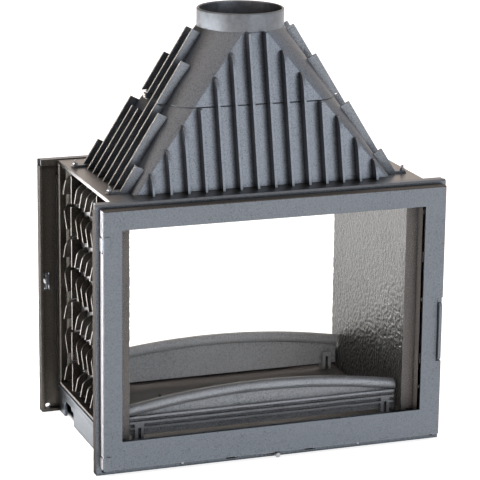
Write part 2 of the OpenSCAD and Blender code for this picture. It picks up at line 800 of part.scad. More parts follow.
// Hinge pins stand up out of the lugs, and the door hangs on them over washers
module hinge_pins() color(steel) for (z = [low_lug_top, high_lug_top])
    rod_z(hinge_x, hinge_y, z - 20, z + hinge_washer_t + hinge_pin_reach, hinge_pin_r);

module front_hinge_pins() hinge_pins();
module rear_hinge_pins() half_turn() hinge_pins();

module hinge_washers() color(steel) for (z = [low_lug_top, high_lug_top]) difference() {
    rod_z(hinge_x, hinge_y, z, z + hinge_washer_t, hinge_lug_r - 1);
    rod_z(hinge_x, hinge_y, z - 1, z + hinge_washer_t + 1, hinge_pin_r);
}

module front_hinge_washers() hinge_washers();
module rear_hinge_washers() half_turn() hinge_washers();

// Door: mitred rails that slope towards the glass
module door_rect(y, grow) translate([0, y, 0])
    block(-door_x - grow, door_x + grow, 0, eps, sill_h - grow, door_top + grow);

module door_leaf() difference() {
    hull() {
        door_rect(door_front_y, -door_chamfer);
        block(-door_x, door_x, door_front_y + door_chamfer, door_back_y, sill_h, door_top);
    }
    hull() {
        door_rect(door_front_y - eps, -door_chamfer);
        block(-glass_x, glass_x, door_front_y + rail_slope - eps, door_front_y + rail_slope, glass_z0, glass_z1);
    }
    block(-glass_x, glass_x, door_front_y - 1, door_back_y + 1, glass_z0, glass_z1);
}

module ring_cut(lap, y0, y1) block(-glass_x - lap, glass_x + lap, y0, y1, glass_z0 - lap, glass_z1 + lap);

module rope_ring(y0, y1, w) difference() {
    ring_cut(rope_in + w, y0, y1);
    ring_cut(rope_in, y0 - 1, y1 + 1);
}

// Places of the glass clips: position along the edge and the edge's direction
function clip_places() = concat(
    [for (x = [-0.5, 0.5], top = [0, 1]) [x * glass_x, top == 1 ? glass_z1 : glass_z0, top == 1 ? 90 : -90]],
    [for (z = [0.25, 0.75], side = [-1, 1])
        [side * glass_x, glass_z0 + z * (glass_z1 - glass_z0), side > 0 ? 0 : 180]]);

module at_clips() for (p = clip_places()) translate([p[0], 0, p[1]]) rotate([0, -p[2], 0]) children();

module clip_plate(y0, y1, grow)
    block(1 - grow, glass_lap + clip_pocket - 0.3 + grow, y0, y1, -clip_w / 2 - grow, clip_w / 2 + grow);

module front_door() color(iron_grey) difference() {
    door_leaf();
    ring_cut(glass_lap, rebate_y, door_back_y + 1);
    at_clips() clip_plate(clip_floor_y, door_back_y + 1, 0.3);
    at_clips() rod_y(glass_lap + 3, clip_floor_y - 6, clip_floor_y + 1, 0, clip_screw_r);
    rope_ring(door_back_y - rope_groove, door_back_y + 1, rope_w);
    hinge_notch(sill_h - 1, low_lug_top + hinge_washer_t + washer_gap);
    hinge_notch(high_lug_top - high_lug_h - 2, high_lug_top + hinge_washer_t + washer_gap);
    for (z = [low_lug_top, high_lug_top])
        rod_z(hinge_x, hinge_y, z, z + hinge_washer_t + hinge_pin_reach + 1, bore_r);
    block(lever_x0 - 1, door_x + 1, door_front_y - 1, door_back_y + 1, notch_z0, notch_z1);
    rod_x(lever_x0 - 16, lever_x0, latch_y, latch_z, latch_pin_r);
    hinge_relief();
}

// The back corner beside the hinges is cut away, so that it swings clear of the frame
module hinge_relief() translate([0, 0, sill_h - 1]) linear_extrude(door_top - sill_h + 2)
    polygon([[-door_x - 1, door_back_y - 3], [-door_x, door_back_y - 3], [-door_x + 3, door_back_y],
        [-door_x + 3, door_back_y + 1], [-door_x - 1, door_back_y + 1]]);

module hinge_notch(z0, z1) block(-door_x - 1, lug_notch, door_front_y - 1, door_back_y + 1, z0, z1);

module rear_door() half_turn() front_door();

module glass_pane() color(clear)
    block(-glass_x - glass_lap + 1, glass_x + glass_lap - 1, glass_y0, clip_floor_y,
        glass_z0 - glass_lap + 1, glass_z1 + glass_lap - 1);

module front_glass() glass_pane();
module rear_glass() half_turn() glass_pane();

module glass_gasket() color(rope_grey) difference() {
    ring_cut(glass_lap - 1, rebate_y, glass_y0);
    ring_cut(2, rebate_y - 1, glass_y0 + 1);
}

module front_glass_gasket() glass_gasket();
module rear_glass_gasket() half_turn() glass_gasket();

module glass_clips() color(steel) difference() {
    at_clips() clip_plate(clip_floor_y, clip_floor_y + clip_t, 0);
    at_clips() rod_y(glass_lap + 3, clip_floor_y - 1, clip_floor_y + clip_t + 1, 0, clip_screw_r);
}

module front_glass_clips() glass_clips();
module rear_glass_clips() half_turn() glass_clips();

module clip_screws() color(steel) at_clips() {
    rod_y(glass_lap + 3, clip_floor_y - 6, clip_floor_y + clip_t, 0, clip_screw_r);
    rod_y(glass_lap + 3, clip_floor_y + clip_t, clip_floor_y + clip_t + 1.2, 0, clip_screw_r + 0.3);
}

module front_clip_screws() clip_screws();
module rear_clip_screws() half_turn() clip_screws();

module door_seal() color(rope_grey) rope_ring(door_back_y - rope_groove, face_y - seat_gap, rope_w);

module front_door_seal() door_seal();
module rear_door_seal() half_turn() door_seal();

// Latch: a lever whose hook passes through the frame and rises behind it when pushed home
module latch_pin() color(steel) {
    rod_x(lever_x0 - 16, lever_x1 + 0.3, latch_y, latch_z, latch_pin_r);
    rod_x(lever_x1 + 0.3, lever_x1 + 3, latch_y, latch_z, latch_pin_r + 2.5);
}

module front_latch_pin() latch_pin();
module rear_latch_pin() half_turn() latch_pin();

module latch_lever() color(iron_grey) difference() {
    union() {
        rod_x(lever_x0, lever_x1, latch_y, latch_z, boss_r);
        prism_x(lever_x0, lever_x1, [
            [grip_y0, latch_z - grip_drop + 3], [grip_y0 + 3, latch_z - grip_drop],
            [grip_y0 + grip_d - 3, latch_z - grip_drop], [grip_y0 + grip_d, latch_z - grip_drop + 3],
            [grip_y0 + grip_d, latch_z - 30], [latch_y, latch_z - boss_r],
            [latch_y, latch_z + boss_r], [grip_y0 + grip_d, latch_z + grip_rise],
            [grip_y0 + 4, latch_z + grip_rise], [grip_y0, latch_z + grip_rise - 6]]);
        prism_x(lever_x0, lever_x1, [
            [latch_y, latch_z - arm_low], [hook_y + nose_w - 2, latch_z - arm_low],
            [hook_y + nose_w, latch_z - arm_low + 2], [hook_y + nose_w, latch_z + nose_rise - 5],
            [hook_y + nose_w - 5, latch_z + nose_rise], [hook_y, latch_z + nose_rise],
            [hook_y, latch_z + 4], [latch_y, latch_z + 4]]);
    }
    rod_x(lever_x0 - 1, lever_x1 + 1, latch_y, latch_z, latch_pin_r + hinge_play);
}

module front_latch_lever() latch_lever();
module rear_latch_lever() half_turn() latch_lever();

// Log retainer: an arched plate with a round bead, ribs on its outer face and two forked feet
function arch_r() = let (rise = retainer_mid_z - retainer_end_z)
    (pow(retainer_x, 2) + pow(rise, 2)) / (2 * rise);

module arch_zone(r) intersection() {
    translate([0, retainer_mid_z - arch_r()]) circle(r = r, $fn = 240);
    translate([-retainer_x, retainer_z]) square([2 * retainer_x, retainer_mid_z]);
}

module retainer_rib(z) {
    half = retainer_x - 2;
    block(-half, half, -retainer_y - retainer_t / 2 - rib_out, -retainer_y - retainer_t / 2 + 1,
        z - rib_w / 2, z + rib_w / 2);
}

module retainer_foot() difference() {
    mid_block_at(retainer_foot_x, foot_x, -retainer_y - foot_d / 2, -retainer_y + foot_d / 2,
        hearth_z + seat_gap, retainer_z + foot_h);
    mid_block_at(retainer_foot_x, tab_t + 1, -retainer_y - foot_d, -retainer_y + foot_d,
        hearth_z - 1, hearth_z + tab_h + 1);
}

module log_retainer() color(iron_grey) {
    difference() {
        union() {
            translate([0, -retainer_y + retainer_t / 2, 0]) rotate([90, 0, 0]) linear_extrude(retainer_t)
                arch_zone(arch_r() - bead_r);
            retainer_ribs();
        }
        both_sides() mid_block_at(retainer_foot_x, foot_x - 1, -retainer_y - foot_d, -retainer_y + foot_d,
            retainer_z - 1, retainer_z + foot_h - 1);
    }
    retainer_bead();
    both_sides() retainer_foot();
}

module retainer_ribs() for (i = [0:2]) retainer_rib(retainer_z + rib_rise + i * rib_pitch);

module retainer_bead() intersection() {
    translate([0, -retainer_y, retainer_mid_z - arch_r()]) rotate([90, 0, 0])
        rotate_extrude($fn = 240) translate([arch_r() - bead_r, 0]) circle(r = bead_r, $fn = 32);
    mid_block(2 * retainer_x, -retainer_y - 30, -retainer_y + 30, retainer_z, retainer_mid_z + 5);
}

module front_log_retainer() log_retainer();
module rear_log_retainer() half_turn() log_retainer();

base_skirt();
hearth_plate();
fire_grate();
ash_pan();
left_casing();
right_casing();
left_liner();
right_liner();
top_plate();
hood_lower();
hood_upper();
seam_bolts();
flue_collar();
collar_screws();
hood_studs();
hood_nuts();
baffle_bars();
smoke_baffle();
front_frame();
rear_frame();
frame_screws();
front_air_bar();
rear_air_bar();
front_sill_strip();
rear_sill_strip();
strip_screws();
front_air_slide();
rear_air_slide();
front_air_knob();
rear_air_knob();
front_hinge_pins();
rear_hinge_pins();
front_hinge_washers();
rear_hinge_washers();
front_door();
rear_door();
front_glass();
rear_glass();
front_glass_gasket();
rear_glass_gasket();
front_glass_clips();
rear_glass_clips();
front_clip_screws();
rear_clip_screws();
front_door_seal();
rear_door_seal();
front_latch_pin();
rear_latch_pin();
front_latch_lever();
rear_latch_lever();
front_log_retainer();
rear_log_retainer();
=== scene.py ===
# %% [markdown]
# # A double-sided fireplace insert in painted cast iron
# The packed model is the frame of this scene: each piece below sits where its solids say, in metres,
# with +Z up and the front door looking towards -Y. The rear half is the front half turned half a turn.
# Castings are never sharp, never flat and never one colour, so most of the work here is rounding their
# edges, giving fins and linings their real relief, and making a paint that catches light unevenly. Some
# faces also carry painted shade or painted highlights in their colour.

import json
import math

import bmesh
import bpy
from mathutils import Matrix, Vector


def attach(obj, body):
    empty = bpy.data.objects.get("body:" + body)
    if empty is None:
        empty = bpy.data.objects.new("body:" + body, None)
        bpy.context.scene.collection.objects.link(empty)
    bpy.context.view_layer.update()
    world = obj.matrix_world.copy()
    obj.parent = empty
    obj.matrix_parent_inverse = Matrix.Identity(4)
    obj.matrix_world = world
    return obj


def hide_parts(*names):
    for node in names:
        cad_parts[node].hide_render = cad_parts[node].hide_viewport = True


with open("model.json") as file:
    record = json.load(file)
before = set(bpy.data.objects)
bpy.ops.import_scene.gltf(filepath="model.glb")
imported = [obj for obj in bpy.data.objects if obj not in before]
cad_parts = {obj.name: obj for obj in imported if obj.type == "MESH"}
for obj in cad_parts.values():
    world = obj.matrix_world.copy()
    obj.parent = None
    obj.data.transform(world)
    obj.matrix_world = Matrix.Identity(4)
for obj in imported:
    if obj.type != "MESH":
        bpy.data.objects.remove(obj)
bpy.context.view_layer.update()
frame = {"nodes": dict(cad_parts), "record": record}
nodes = frame["nodes"]

# %% [markdown]
# ## Camera
# The photograph looks from the front left, a little from above, through a long lens, so that upright
# edges stay nearly parallel. The camera is placed by turning it about a point in the middle of the insert.

# %% Camera
view_target = Vector((0.0058, 0.0, 0.4488))
view_distance = 5.5275
view_turn, view_height, view_roll = (math.radians(a) for a in (-20.05, 14.89, 0.68))
camera_data = bpy.data.cameras.new("camera")
camera_data.lens = 178.2
camera_data.sensor_width = 36.0
camera_data.clip_end = 60.0
camera = bpy.data.objects.new("camera", camera_data)
bpy.context.scene.collection.objects.link(camera)
camera.matrix_world = (
    Matrix.Translation(view_target)
    @ Matrix.Rotation(view_turn, 4, "Z")
    @ Matrix.Rotation(math.pi / 2 - view_height, 4, "X")
    @ Matrix.Rotation(view_roll, 4, "Z")
    @ Matrix.Translation((0, 0, view_distance))
)
bpy.context.scene.camera = camera
print("camera at", [round(v, 3) for v in camera.matrix_world.translation])

# %% [markdown]
# ## Studio
# A pale floor and an even light give the plain, nearly shadowless look of a catalogue picture. One soft
# lamp in front adds direction. Two more face the floor behind on the left, because painted iron is half a
# mirror: the faces that look to the left show whatever light lies there.


# %% Studio
def soft_lamp(name, place, aim, size, power):
    data = bpy.data.lights.new(name, "AREA")
    data.shape = "RECTANGLE"
    data.size, data.size_y = size
    data.energy = power
    lamp = bpy.data.objects.new(name, data)
    bpy.context.scene.collection.objects.link(lamp)
    lamp.location = place
    lamp.rotation_euler = (Vector(aim) - Vector(place)).to_track_quat("-Z", "Y").to_euler()
    return lamp


soft_lamp("front_lamp", place=(1.8, -4.6, 1.9), aim=(0, 0, 0.6), size=(3.0, 2.0), power=26)
for name, x, y, height, size, power in (("near_floor_lamp", -1.3, 1.3, 2.0, (1.3, 2.4), 75),
                                        ("far_floor_lamp", -3.4, 1.2, 3.0, (2.6, 5.0), 520)):
    lamp = soft_lamp(name, place=(x, y, height), aim=(x, y, 0), size=size, power=power)
    lamp.data.spread = math.radians(45)
bpy.context.scene.view_settings.view_transform = "Standard"
print("lamps", [lamp.name for lamp in bpy.data.lights])

# %% Floor
FLOOR_HALF, FLOOR_DROP = 30.0, 0.0005
floor_corners = [(x * FLOOR_HALF, y * FLOOR_HALF, 0) for x, y in ((-1, -1), (1, -1), (1, 1), (-1, 1))]
floor_mesh = bpy.data.meshes.new("floor")
floor_mesh.from_pydata(floor_corners, [], [(0, 1, 2, 3)])
floor = bpy.data.objects.new("floor", floor_mesh)
bpy.context.scene.collection.objects.link(floor)
floor.location.z = -FLOOR_DROP
pale_floor = bpy.data.materials.new("pale_floor")
pale_floor.use_nodes = True
floor_shader = pale_floor.node_tree.nodes["Principled BSDF"]
floor_shader.inputs["Base Color"].default_value = (0.8, 0.8, 0.8, 1)
floor_shader.inputs["Roughness"].default_value = 0.9
floor_shader.inputs["Emission Color"].default_value = (1, 1, 1, 1)
floor_shader.inputs["Emission Strength"].default_value = 0.75
floor_mesh.materials.append(pale_floor)
print("floor", 2 * FLOOR_HALF, "m wide")

# %% [markdown]
# ## Small helpers for node trees
# Shader groups and Geometry Nodes trees both use Math nodes. Wrapping a socket in a small class lets a
# formula be written as Python writes it, and nearly every operator adds one Math node.


# %% Node formulas
class Wire:
    def __init__(self, tree, socket):
        self.tree, self.socket = tree, socket

    def math(self, operation, *others):
        node = self.tree.nodes.new("ShaderNodeMath")
        node.operation = operation
        for plug, value in zip(node.inputs, (self, *others)):
            connect(self.tree, value, plug)
        return Wire(self.tree, node.outputs[0])

    def __add__(self, other):
        return self.math("ADD", other)

    def __sub__(self, other):
        return self.math("SUBTRACT", other)

    def __rsub__(self, other):
        return self * -1.0 + other

    def __mul__(self, other):
        return self.math("MULTIPLY", other)

    def __truediv__(self, other):
        return self.math("DIVIDE", other)

    def least(self, other):
        return self.math("MINIMUM", other)

    def most(self, other):
        return self.math("MAXIMUM", other)


def connect(tree, value, plug):
    if isinstance(value, Wire):
        tree.links.new(value.socket, plug)
    elif value is not None:
        plug.default_value = value


def add_node(tree, kind, settings=(), **values):
    """A node with its settings and its inputs by name (underscores for spaces)."""
    node = tree.nodes.new(kind)
    for key, value in dict(settings).items():
        setattr(node, key, value)
    for key, value in values.items():
        connect(tree, value, node.inputs[key.replace("_", " ")])
    return node


def out(node, name=0):
    return Wire(node.id_data, node.outputs[name])


def split(vector):
    node = add_node(vector.tree, "ShaderNodeSeparateXYZ", Vector=vector)
    return [out(node, axis) for axis in "XYZ"]


def vector_of(tree, x, y, z):
    return out(add_node(tree, "ShaderNodeCombineXYZ", X=x, Y=y, Z=z))


def tone_ramp(tree, driver, stops):
    node = tree.nodes.new("ShaderNodeValToRGB")
    while len(node.color_ramp.elements) < len(stops):
        node.color_ramp.elements.new(0.5)
    for element, (position, colour) in zip(node.color_ramp.elements, stops):
        element.position, element.color = position, (*colour, 1.0)
    connect(tree, driver, node.inputs["Fac"])
    return out(node, "Color")


print("formulas can use", [name for name in vars(Wire) if name.endswith("__") and name != "__init__"])

# %% [markdown]
# ## Surround
# Grey metal takes most of its colour from what it reflects. The surround is therefore dim and brown behind
# the insert on the left, and bright and cool in front on the right. A colour ramp along one level direction
# paints it, so no picture file is needed.

# %% Surround
world = bpy.data.worlds.new("soft_surround")
bpy.context.scene.world = world
world.use_nodes = True
tree = world.node_tree
east, north, _ = split(out(add_node(tree, "ShaderNodeTexCoord"), "Generated"))
from_behind_left = (east * 0.6 - north * 0.8) * 0.5 + 0.5
glow = tone_ramp(tree, from_behind_left, [
    (0.0, (0.13, 0.115, 0.095)), (0.07, (0.18, 0.155, 0.13)), (0.18, (1.1, 0.96, 0.87)),
    (0.70, (0.86, 0.78, 0.74)), (1.0, (0.78, 0.82, 0.92))])
connect(tree, glow, tree.nodes["Background"].inputs["Color"])
print("surround", world.name, "with", len(tree.nodes), "nodes")

# %% [markdown]
# ## Finishes
# The paint is a matt metallic grey over sand-cast iron. Up close the iron shows a fine grain and some
# shallow unevenness, and the paint has cloudy tones. Corners and creases get painted shade: they are made
# darker where an Ambient Occlusion node finds little open space. One shader group makes height, clouds and
# tone, painted shade included, for all castings, so that every piece looks poured from the same sand.


# %% Cast surface group
def shader_group(name, inputs, outputs):
    group = bpy.data.node_groups.new(name, "ShaderNodeTree")
    for label, value in inputs.items():
        plug = group.interface.new_socket(label, in_out="INPUT", socket_type="NodeSocketFloat")
        plug.default_value = value
    for label in outputs:
        group.interface.new_socket(label, in_out="OUTPUT", socket_type="NodeSocketFloat")
    given = group.nodes.new("NodeGroupInput")
    result = group.nodes.new("NodeGroupOutput")
    return group, lambda label: Wire(group, given.outputs[label]), result


def place_on_piece(tree):
    return out(add_node(tree, "ShaderNodeTexCoord"), "Object")


def noise(tree, place, scale, detail, roughness):
    node = add_node(tree, "ShaderNodeTexNoise", Vector=place, Scale=scale, Detail=detail, Roughness=roughness)
    return out(node, "Fac")


cast_surface, given, result = shader_group(
    "cast_surface", {"Grain Size": 330.0, "Swell Size": 26.0, "Cloud Size": 5.0}, ("Height", "Clouds", "Tone")
)
place = place_on_piece(cast_surface)
grain = noise(cast_surface, place, given("Grain Size"), 2.0, 0.6)
swell = noise(cast_surface, place, given("Swell Size"), 3.0, 0.5)
clouds = noise(cast_surface, place, given("Cloud Size"), 4.0, 0.6)
connect(cast_surface, grain * 0.5 + swell * 0.5, result.inputs["Height"])
connect(cast_surface, clouds, result.inputs["Clouds"])

# The tone is mostly grain and a little cloud, and is darkened as painted shade in corners that little open
# air reaches
open_air = out(add_node(cast_surface, "ShaderNodeAmbientOcclusion", {"samples": 4}, Distance=0.014), "AO")
connect(cast_surface, (clouds * 0.4 + grain * 1.5 - 0.45) * open_air * open_air, result.inputs["Tone"])
print("group", cast_surface.name, "with", len(cast_surface.nodes), "nodes")


# %% [markdown]
# Each finish is a Principled BSDF. Its colour runs from a dark to a light tone by the group's tone, whose
# lowest values are the painted shade in corners. Its roughness follows the clouds, and the height goes
# through a Bump node. What is the same all over is set on the shader itself. Fresh paint, painted shade and
# painted highlights differ only in these few values.


# %% Painted and bare iron
def principled(name, **fixed):
    material = bpy.data.materials.new(name)
    material.use_nodes = True
    tree = material.node_tree
    shader = tree.nodes["Principled BSDF"]
    for key, value in fixed.items():
        shader.inputs[key.replace("_", " ")].default_value = value
    return material, tree, shader


def cast_iron(name, dark, light, gloss, bump=0.25, metallic=0.0, specular=0.5):
    material, tree, shader = principled(name, Metallic=metallic, Specular_IOR_Level=specular)
    group = add_node(tree, "ShaderNodeGroup", {"node_tree": cast_surface}, Swell_Size=26.0)
    # The deepest colour, where the tone falls to nothing in corners, is painted shade
    deep = tuple(value * 0.15 for value in dark)
    colour = tone_ramp(tree, out(group, "Tone"), [(0.0, deep), (0.3, dark), (0.7, light)])
    connect(tree, colour, shader.inputs["Base Color"])
    connect(tree, out(group, "Clouds") * 0.16 + (gloss - 0.08), shader.inputs["Roughness"])
    relief = add_node(tree, "ShaderNodeBump", Strength=bump, Distance=0.0012, Height=out(group, "Height"))
    connect(tree, out(relief, "Normal"), shader.inputs["Normal"])
    return material


grey_paint = cast_iron("grey_paint", (0.132, 0.150, 0.172), (0.166, 0.188, 0.214), 0.36, metallic=1.0)
hood_paint = cast_iron("hood_paint", (0.146, 0.162, 0.182), (0.204, 0.224, 0.250), 0.36, bump=0.4,
                       metallic=1.0)
dark_iron = cast_iron("dark_iron", (0.115, 0.108, 0.10), (0.16, 0.15, 0.14), 0.33, bump=0.2, metallic=1.0)
liner_iron = cast_iron("liner_iron", (0.094, 0.093, 0.094), (0.155, 0.153, 0.154), 0.30, bump=0.6,
                       metallic=0.55)
# Painted shade: the casings carry the same grey paint as the rest, made near black here for the shade between
# their fins
shaded_casing_paint = cast_iron("shaded_casing_paint", (0.035, 0.032, 0.027), (0.065, 0.06, 0.052), 0.38, metallic=0.9)
# Painted highlight: the plate's outer faces between the fins, made bright as if lit from the left
lit_plate_highlight = cast_iron("lit_plate_highlight", (0.34, 0.335, 0.355), (0.45, 0.445, 0.465), 0.28, metallic=1.0)
# Painted highlight on the sideways tips of the hood's fins
fin_edge_highlight = cast_iron("fin_edge_highlight", (0.33, 0.315, 0.29), (0.43, 0.415, 0.385), 0.5)
# Painted highlight on the tips of the casing fins and on the side faces of the frames' openings
sliver_highlight = cast_iron("sliver_highlight", (0.22, 0.205, 0.195), (0.30, 0.28, 0.27), 0.5)
# Painted shade on the front and back end faces of the casings and liners
shaded_end_paint = cast_iron("shaded_end_paint", (0.105, 0.097, 0.094), (0.142, 0.133, 0.129), 0.5)
# A darker finish for the backs of the frames, and painted shade on the door's top, its latch edge and the
# sides of its window
dark_backs_and_shade = cast_iron("dark_backs_and_shade", (0.058, 0.052, 0.045), (0.094, 0.085, 0.074), 0.45, metallic=0.8)
# A dark, matt finish for the frames' outer rims, darker than the paint on other faces that look left
matt_rim = cast_iron("matt_rim", (0.05, 0.047, 0.045), (0.08, 0.075, 0.072), 0.8, specular=0.1)
# Painted highlight on the door's hinge edge and the sides of the frame's hinge lugs
edge_highlight = cast_iron("edge_highlight", (0.62, 0.62, 0.66), (0.78, 0.78, 0.82), 0.30, metallic=0.3)
plate_paint = cast_iron("plate_paint", (0.15, 0.146, 0.144), (0.20, 0.196, 0.193), 0.30, metallic=1.0)
fire_iron = cast_iron("fire_iron", (0.13, 0.122, 0.118), (0.20, 0.19, 0.182), 0.5, metallic=0.1)
retainer_paint = cast_iron("retainer_paint", (0.21, 0.225, 0.245), (0.30, 0.32, 0.345), 0.40, metallic=0.5)
# Painted light: the rear log retainer inside the fire is made much lighter than the front one
lit_rear_retainer_paint = cast_iron("lit_rear_retainer_paint", (0.52, 0.535, 0.55), (0.68, 0.70, 0.72), 0.5)
print("finishes", [m.name for m in bpy.data.materials])

# %% [markdown]
# Screws, pins and the collar are bare or plated steel, whose dark and light smears change its gloss too. The
# seals are woven glass fibre. The panes are clear ceramic glass with a faint tint, and hardly bend light.


# %% Steel, rope and glass
def turned_steel(name, tone, gloss):
    material, tree, shader = principled(name, Metallic=0.9)
    smear = noise(tree, place_on_piece(tree), 90.0, 3.0, 0.6)
    dark = tuple(v * 0.75 for v in tone)
    connect(tree, tone_ramp(tree, smear, [(0.3, dark), (0.7, tone)]), shader.inputs["Base Color"])
    connect(tree, smear * 0.2 + gloss, shader.inputs["Roughness"])
    return material


steel = turned_steel("plated_steel", (0.42, 0.43, 0.45), 0.28)
collar_steel = turned_steel("collar_steel", (0.17, 0.185, 0.205), 0.24)

rope_fibre, tree, shader = principled("rope_fibre", Roughness=0.9)
fibre = noise(tree, place_on_piece(tree), 900.0, 2.0, 0.7)
connect(tree, tone_ramp(tree, fibre, [(0.3, (0.012, 0.012, 0.012)), (0.7, (0.05, 0.05, 0.048))]),
        shader.inputs["Base Color"])
relief = add_node(tree, "ShaderNodeBump", Strength=0.6, Distance=0.0006, Height=fibre)
connect(tree, out(relief, "Normal"), shader.inputs["Normal"])

clear_glass, tree, shader = principled("clear_glass", Roughness=0.0, IOR=1.08, Transmission_Weight=1.0)
film = noise(tree, place_on_piece(tree), 3.0, 3.0, 0.5)
connect(tree, tone_ramp(tree, film, [(0.3, (0.97, 0.98, 0.975)), (0.8, (1.0, 1.0, 1.0))]),
        shader.inputs["Base Color"])
print("steel, rope and glass made")

# %% [markdown]
# ## First coat
# The packed model names a material slot for every node. Each slot gets its finish here, and the pieces made
# below take over from the nodes one after another.

# %% Give every CAD node its finish
finish_of = {"iron_grey": grey_paint, "iron_dark": dark_iron, "iron_liner": liner_iron, "steel": steel,
             "glass": clear_glass, "rope": rope_fibre}
for part in frame["record"]["subparts"]:
    mesh = nodes[part["node"]].data
    mesh.materials.clear()
    mesh.materials.append(finish_of[part["material_slot"]])
print("finished", len(nodes), "nodes")

# %% [markdown]
# ## Softened castings
# Sand castings have no sharp edges. Each casting whose outline is already right in the frame is copied,
# its loose triangles are merged into whole faces, and a Bevel modifier rounds every edge by a millimetre
# or so. The CAD object itself is hidden by its copy and never changed.


# %% Making and finishing a piece
body_of = {node: body for body, group in frame["record"]["behaviour"]["bodies"].items() for node in group}
MM = 0.001
SHARP = math.radians(35)


def new_object(name, bm, material):
    mesh = bpy.data.meshes.new(name)
    bm.to_mesh(mesh)
    bm.free()
    mesh.materials.append(material)
    piece = bpy.data.objects.new(name, mesh)
    bpy.context.scene.collection.objects.link(piece)
    return piece


def settle(piece):
    """Swaps an object's live modifiers for the plain mesh that they make."""
    graph = bpy.context.evaluated_depsgraph_get()
    mesh = bpy.data.meshes.new_from_object(piece.evaluated_get(graph))
    piece.modifiers.clear()
    piece.data = mesh
    mesh.name = piece.name
    return piece


def round_edges(piece, width):
    bevel = piece.modifiers.new("rounded_edges", "BEVEL")
    bevel.width = width
    bevel.segments = 2
    bevel.limit_method = "ANGLE"
    bevel.angle_limit = SHARP
    bevel.harden_normals = True


def stand_for(piece, node):
    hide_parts(node)
    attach(piece, body_of[node])
    return piece


def finish_piece(name, bm, width, material, node):
    """Rounds a mesh's edges and puts it in place of a node."""
    piece = new_object(name, bm, material)
    piece.data.shade_smooth()
    piece.data.set_sharp_from_angle(angle=SHARP)
    if width:
        round_edges(piece, width)
    return stand_for(settle(piece), node)


# %% [markdown]
# Each door's edge is notched for the lugs of its hinges. On the real door no more than a thin joint line
# shows there, so a skin as thin as card, which belongs to the door, closes each notch on the outside.


# %% Softening a node
def prism(bm, outline, low, high):
    """An upright prism from an outline of (x, y) points."""
    ends = [[bm.verts.new((x, y, z)) for x, y in outline] for z in (low, high)]
    faces = [bm.faces.new(end) for end in ends]
    for i in range(len(outline)):
        j = (i + 1) % len(outline)
        faces.append(bm.faces.new((ends[0][i], ends[0][j], ends[1][j], ends[1][i])))
    bmesh.ops.recalc_face_normals(bm, faces=faces)


HINGE_COVER = [(-0.404, 0.266), (-0.3895, 0.266), (-0.3895, 0.2645), (-0.4055, 0.2645)]
HINGE_SPANS = ((0.017, 0.0492), (0.516, 0.5532))


def soften(node, width, material):
    bm = bmesh.new()
    bm.from_mesh(nodes[node].data)
    bmesh.ops.remove_doubles(bm, verts=bm.verts, dist=2e-5)
    bmesh.ops.dissolve_limit(bm, angle_limit=math.radians(0.6), verts=bm.verts, edges=bm.edges)
    if node.endswith("_door"):
        side = -1 if node.startswith("front") else 1
        for low, high in HINGE_SPANS:
            prism(bm, [(-side * x, side * y) for x, y in HINGE_COVER], low, high)
    return finish_piece(node + "_softened", bm, width, material, node)


# Radius of the rounded edges in millimetres, and the finish
softened = {
    "base_skirt": (1.2, grey_paint), "hearth_plate": (1.0, fire_iron), "fire_grate": (1.0, fire_iron),
    "ash_pan": (0.4, steel), "top_plate": (0.8, plate_paint), "baffle_bars": (1.0, fire_iron),
    "smoke_baffle": (1.5, fire_iron), "frame_screws": (0.3, steel), "collar_screws": (0.3, steel),
}
# The rear log retainer's finish is a lighter copy, which paints light on it
for side, bar_paint in (("front", retainer_paint), ("rear", lit_rear_retainer_paint)):
    softened.update({
        f"{side}_frame": (0.8, grey_paint), f"{side}_door": (0.7, grey_paint),
        f"{side}_latch_lever": (1.2, grey_paint), f"{side}_log_retainer": (0.8, bar_paint),
        f"{side}_sill_strip": (0.3, grey_paint), f"{side}_air_bar": (1.0, dark_iron),
        f"{side}_air_slide": (0.2, steel), f"{side}_air_knob": (0.3, steel),
        f"{side}_glass_gasket": (0.4, rope_fibre), f"{side}_glass_clips": (0.4, steel),
        f"{side}_glass": (0.3, clear_glass), f"{side}_latch_pin": (0.5, steel),
        f"{side}_hinge_pins": (0.8, steel), f"{side}_hinge_washers": (0.4, steel),
        f"{side}_clip_screws": (0.2, steel),
    })
print("to soften:", len(softened), "nodes")

# %% [markdown]
# ## Second finishes
# Some faces get a second finish that paints light or shade into their colour. The backs of the frames are
# made darker and their outer rims dark and matt; gaps and end faces get painted shade, and the door's left
# edge, the tips of fins and the sides of the openings get painted highlights. A test on the middle and the
# normal of each face picks such faces on the rounded mesh and gives them a second material, which stays with
# them wherever the piece moves.


# %% Second finishes
def repaint(piece, material, chosen):
    """Gives a second finish to the faces that a test on middle and normal picks."""
    piece.data.materials.append(material)
    for face in piece.data.polygons:
        if chosen(face.center, face.normal):
            face.material_index = len(piece.data.materials) - 1


def sideways(normal):
    return abs(normal.x) > 0.9


FRAME_END_X, FRAME_BACK_Y, OPENING_X = 0.414, 0.234, 0.3605
LUG_X, LUG_Y = 0.404, 0.2435


def repaint_frame(piece, side):
    # The backs of the frame are made darker
    repaint(piece, dark_backs_and_shade, lambda middle, normal: side * normal.y < -0.7 and abs(middle.y) < FRAME_BACK_Y)
    # The outer rims are made dark and matt
    repaint(piece, matt_rim, lambda middle, normal: abs(middle.x) > FRAME_END_X)
    # The side faces of the opening get a painted highlight
    repaint(piece, sliver_highlight, lambda middle, normal: abs(middle.x) < OPENING_X and sideways(normal))
    # The sides of the hinge lugs get a painted highlight
    repaint(piece, edge_highlight, lambda middle, normal: (
        abs(middle.x) > LUG_X and abs(middle.y) > LUG_Y and sideways(normal)))


DOOR_TOP_Z, DOOR_RIGHT_X, DOOR_LEFT_X, WINDOW_X = 0.607, 0.403, 0.405, 0.362


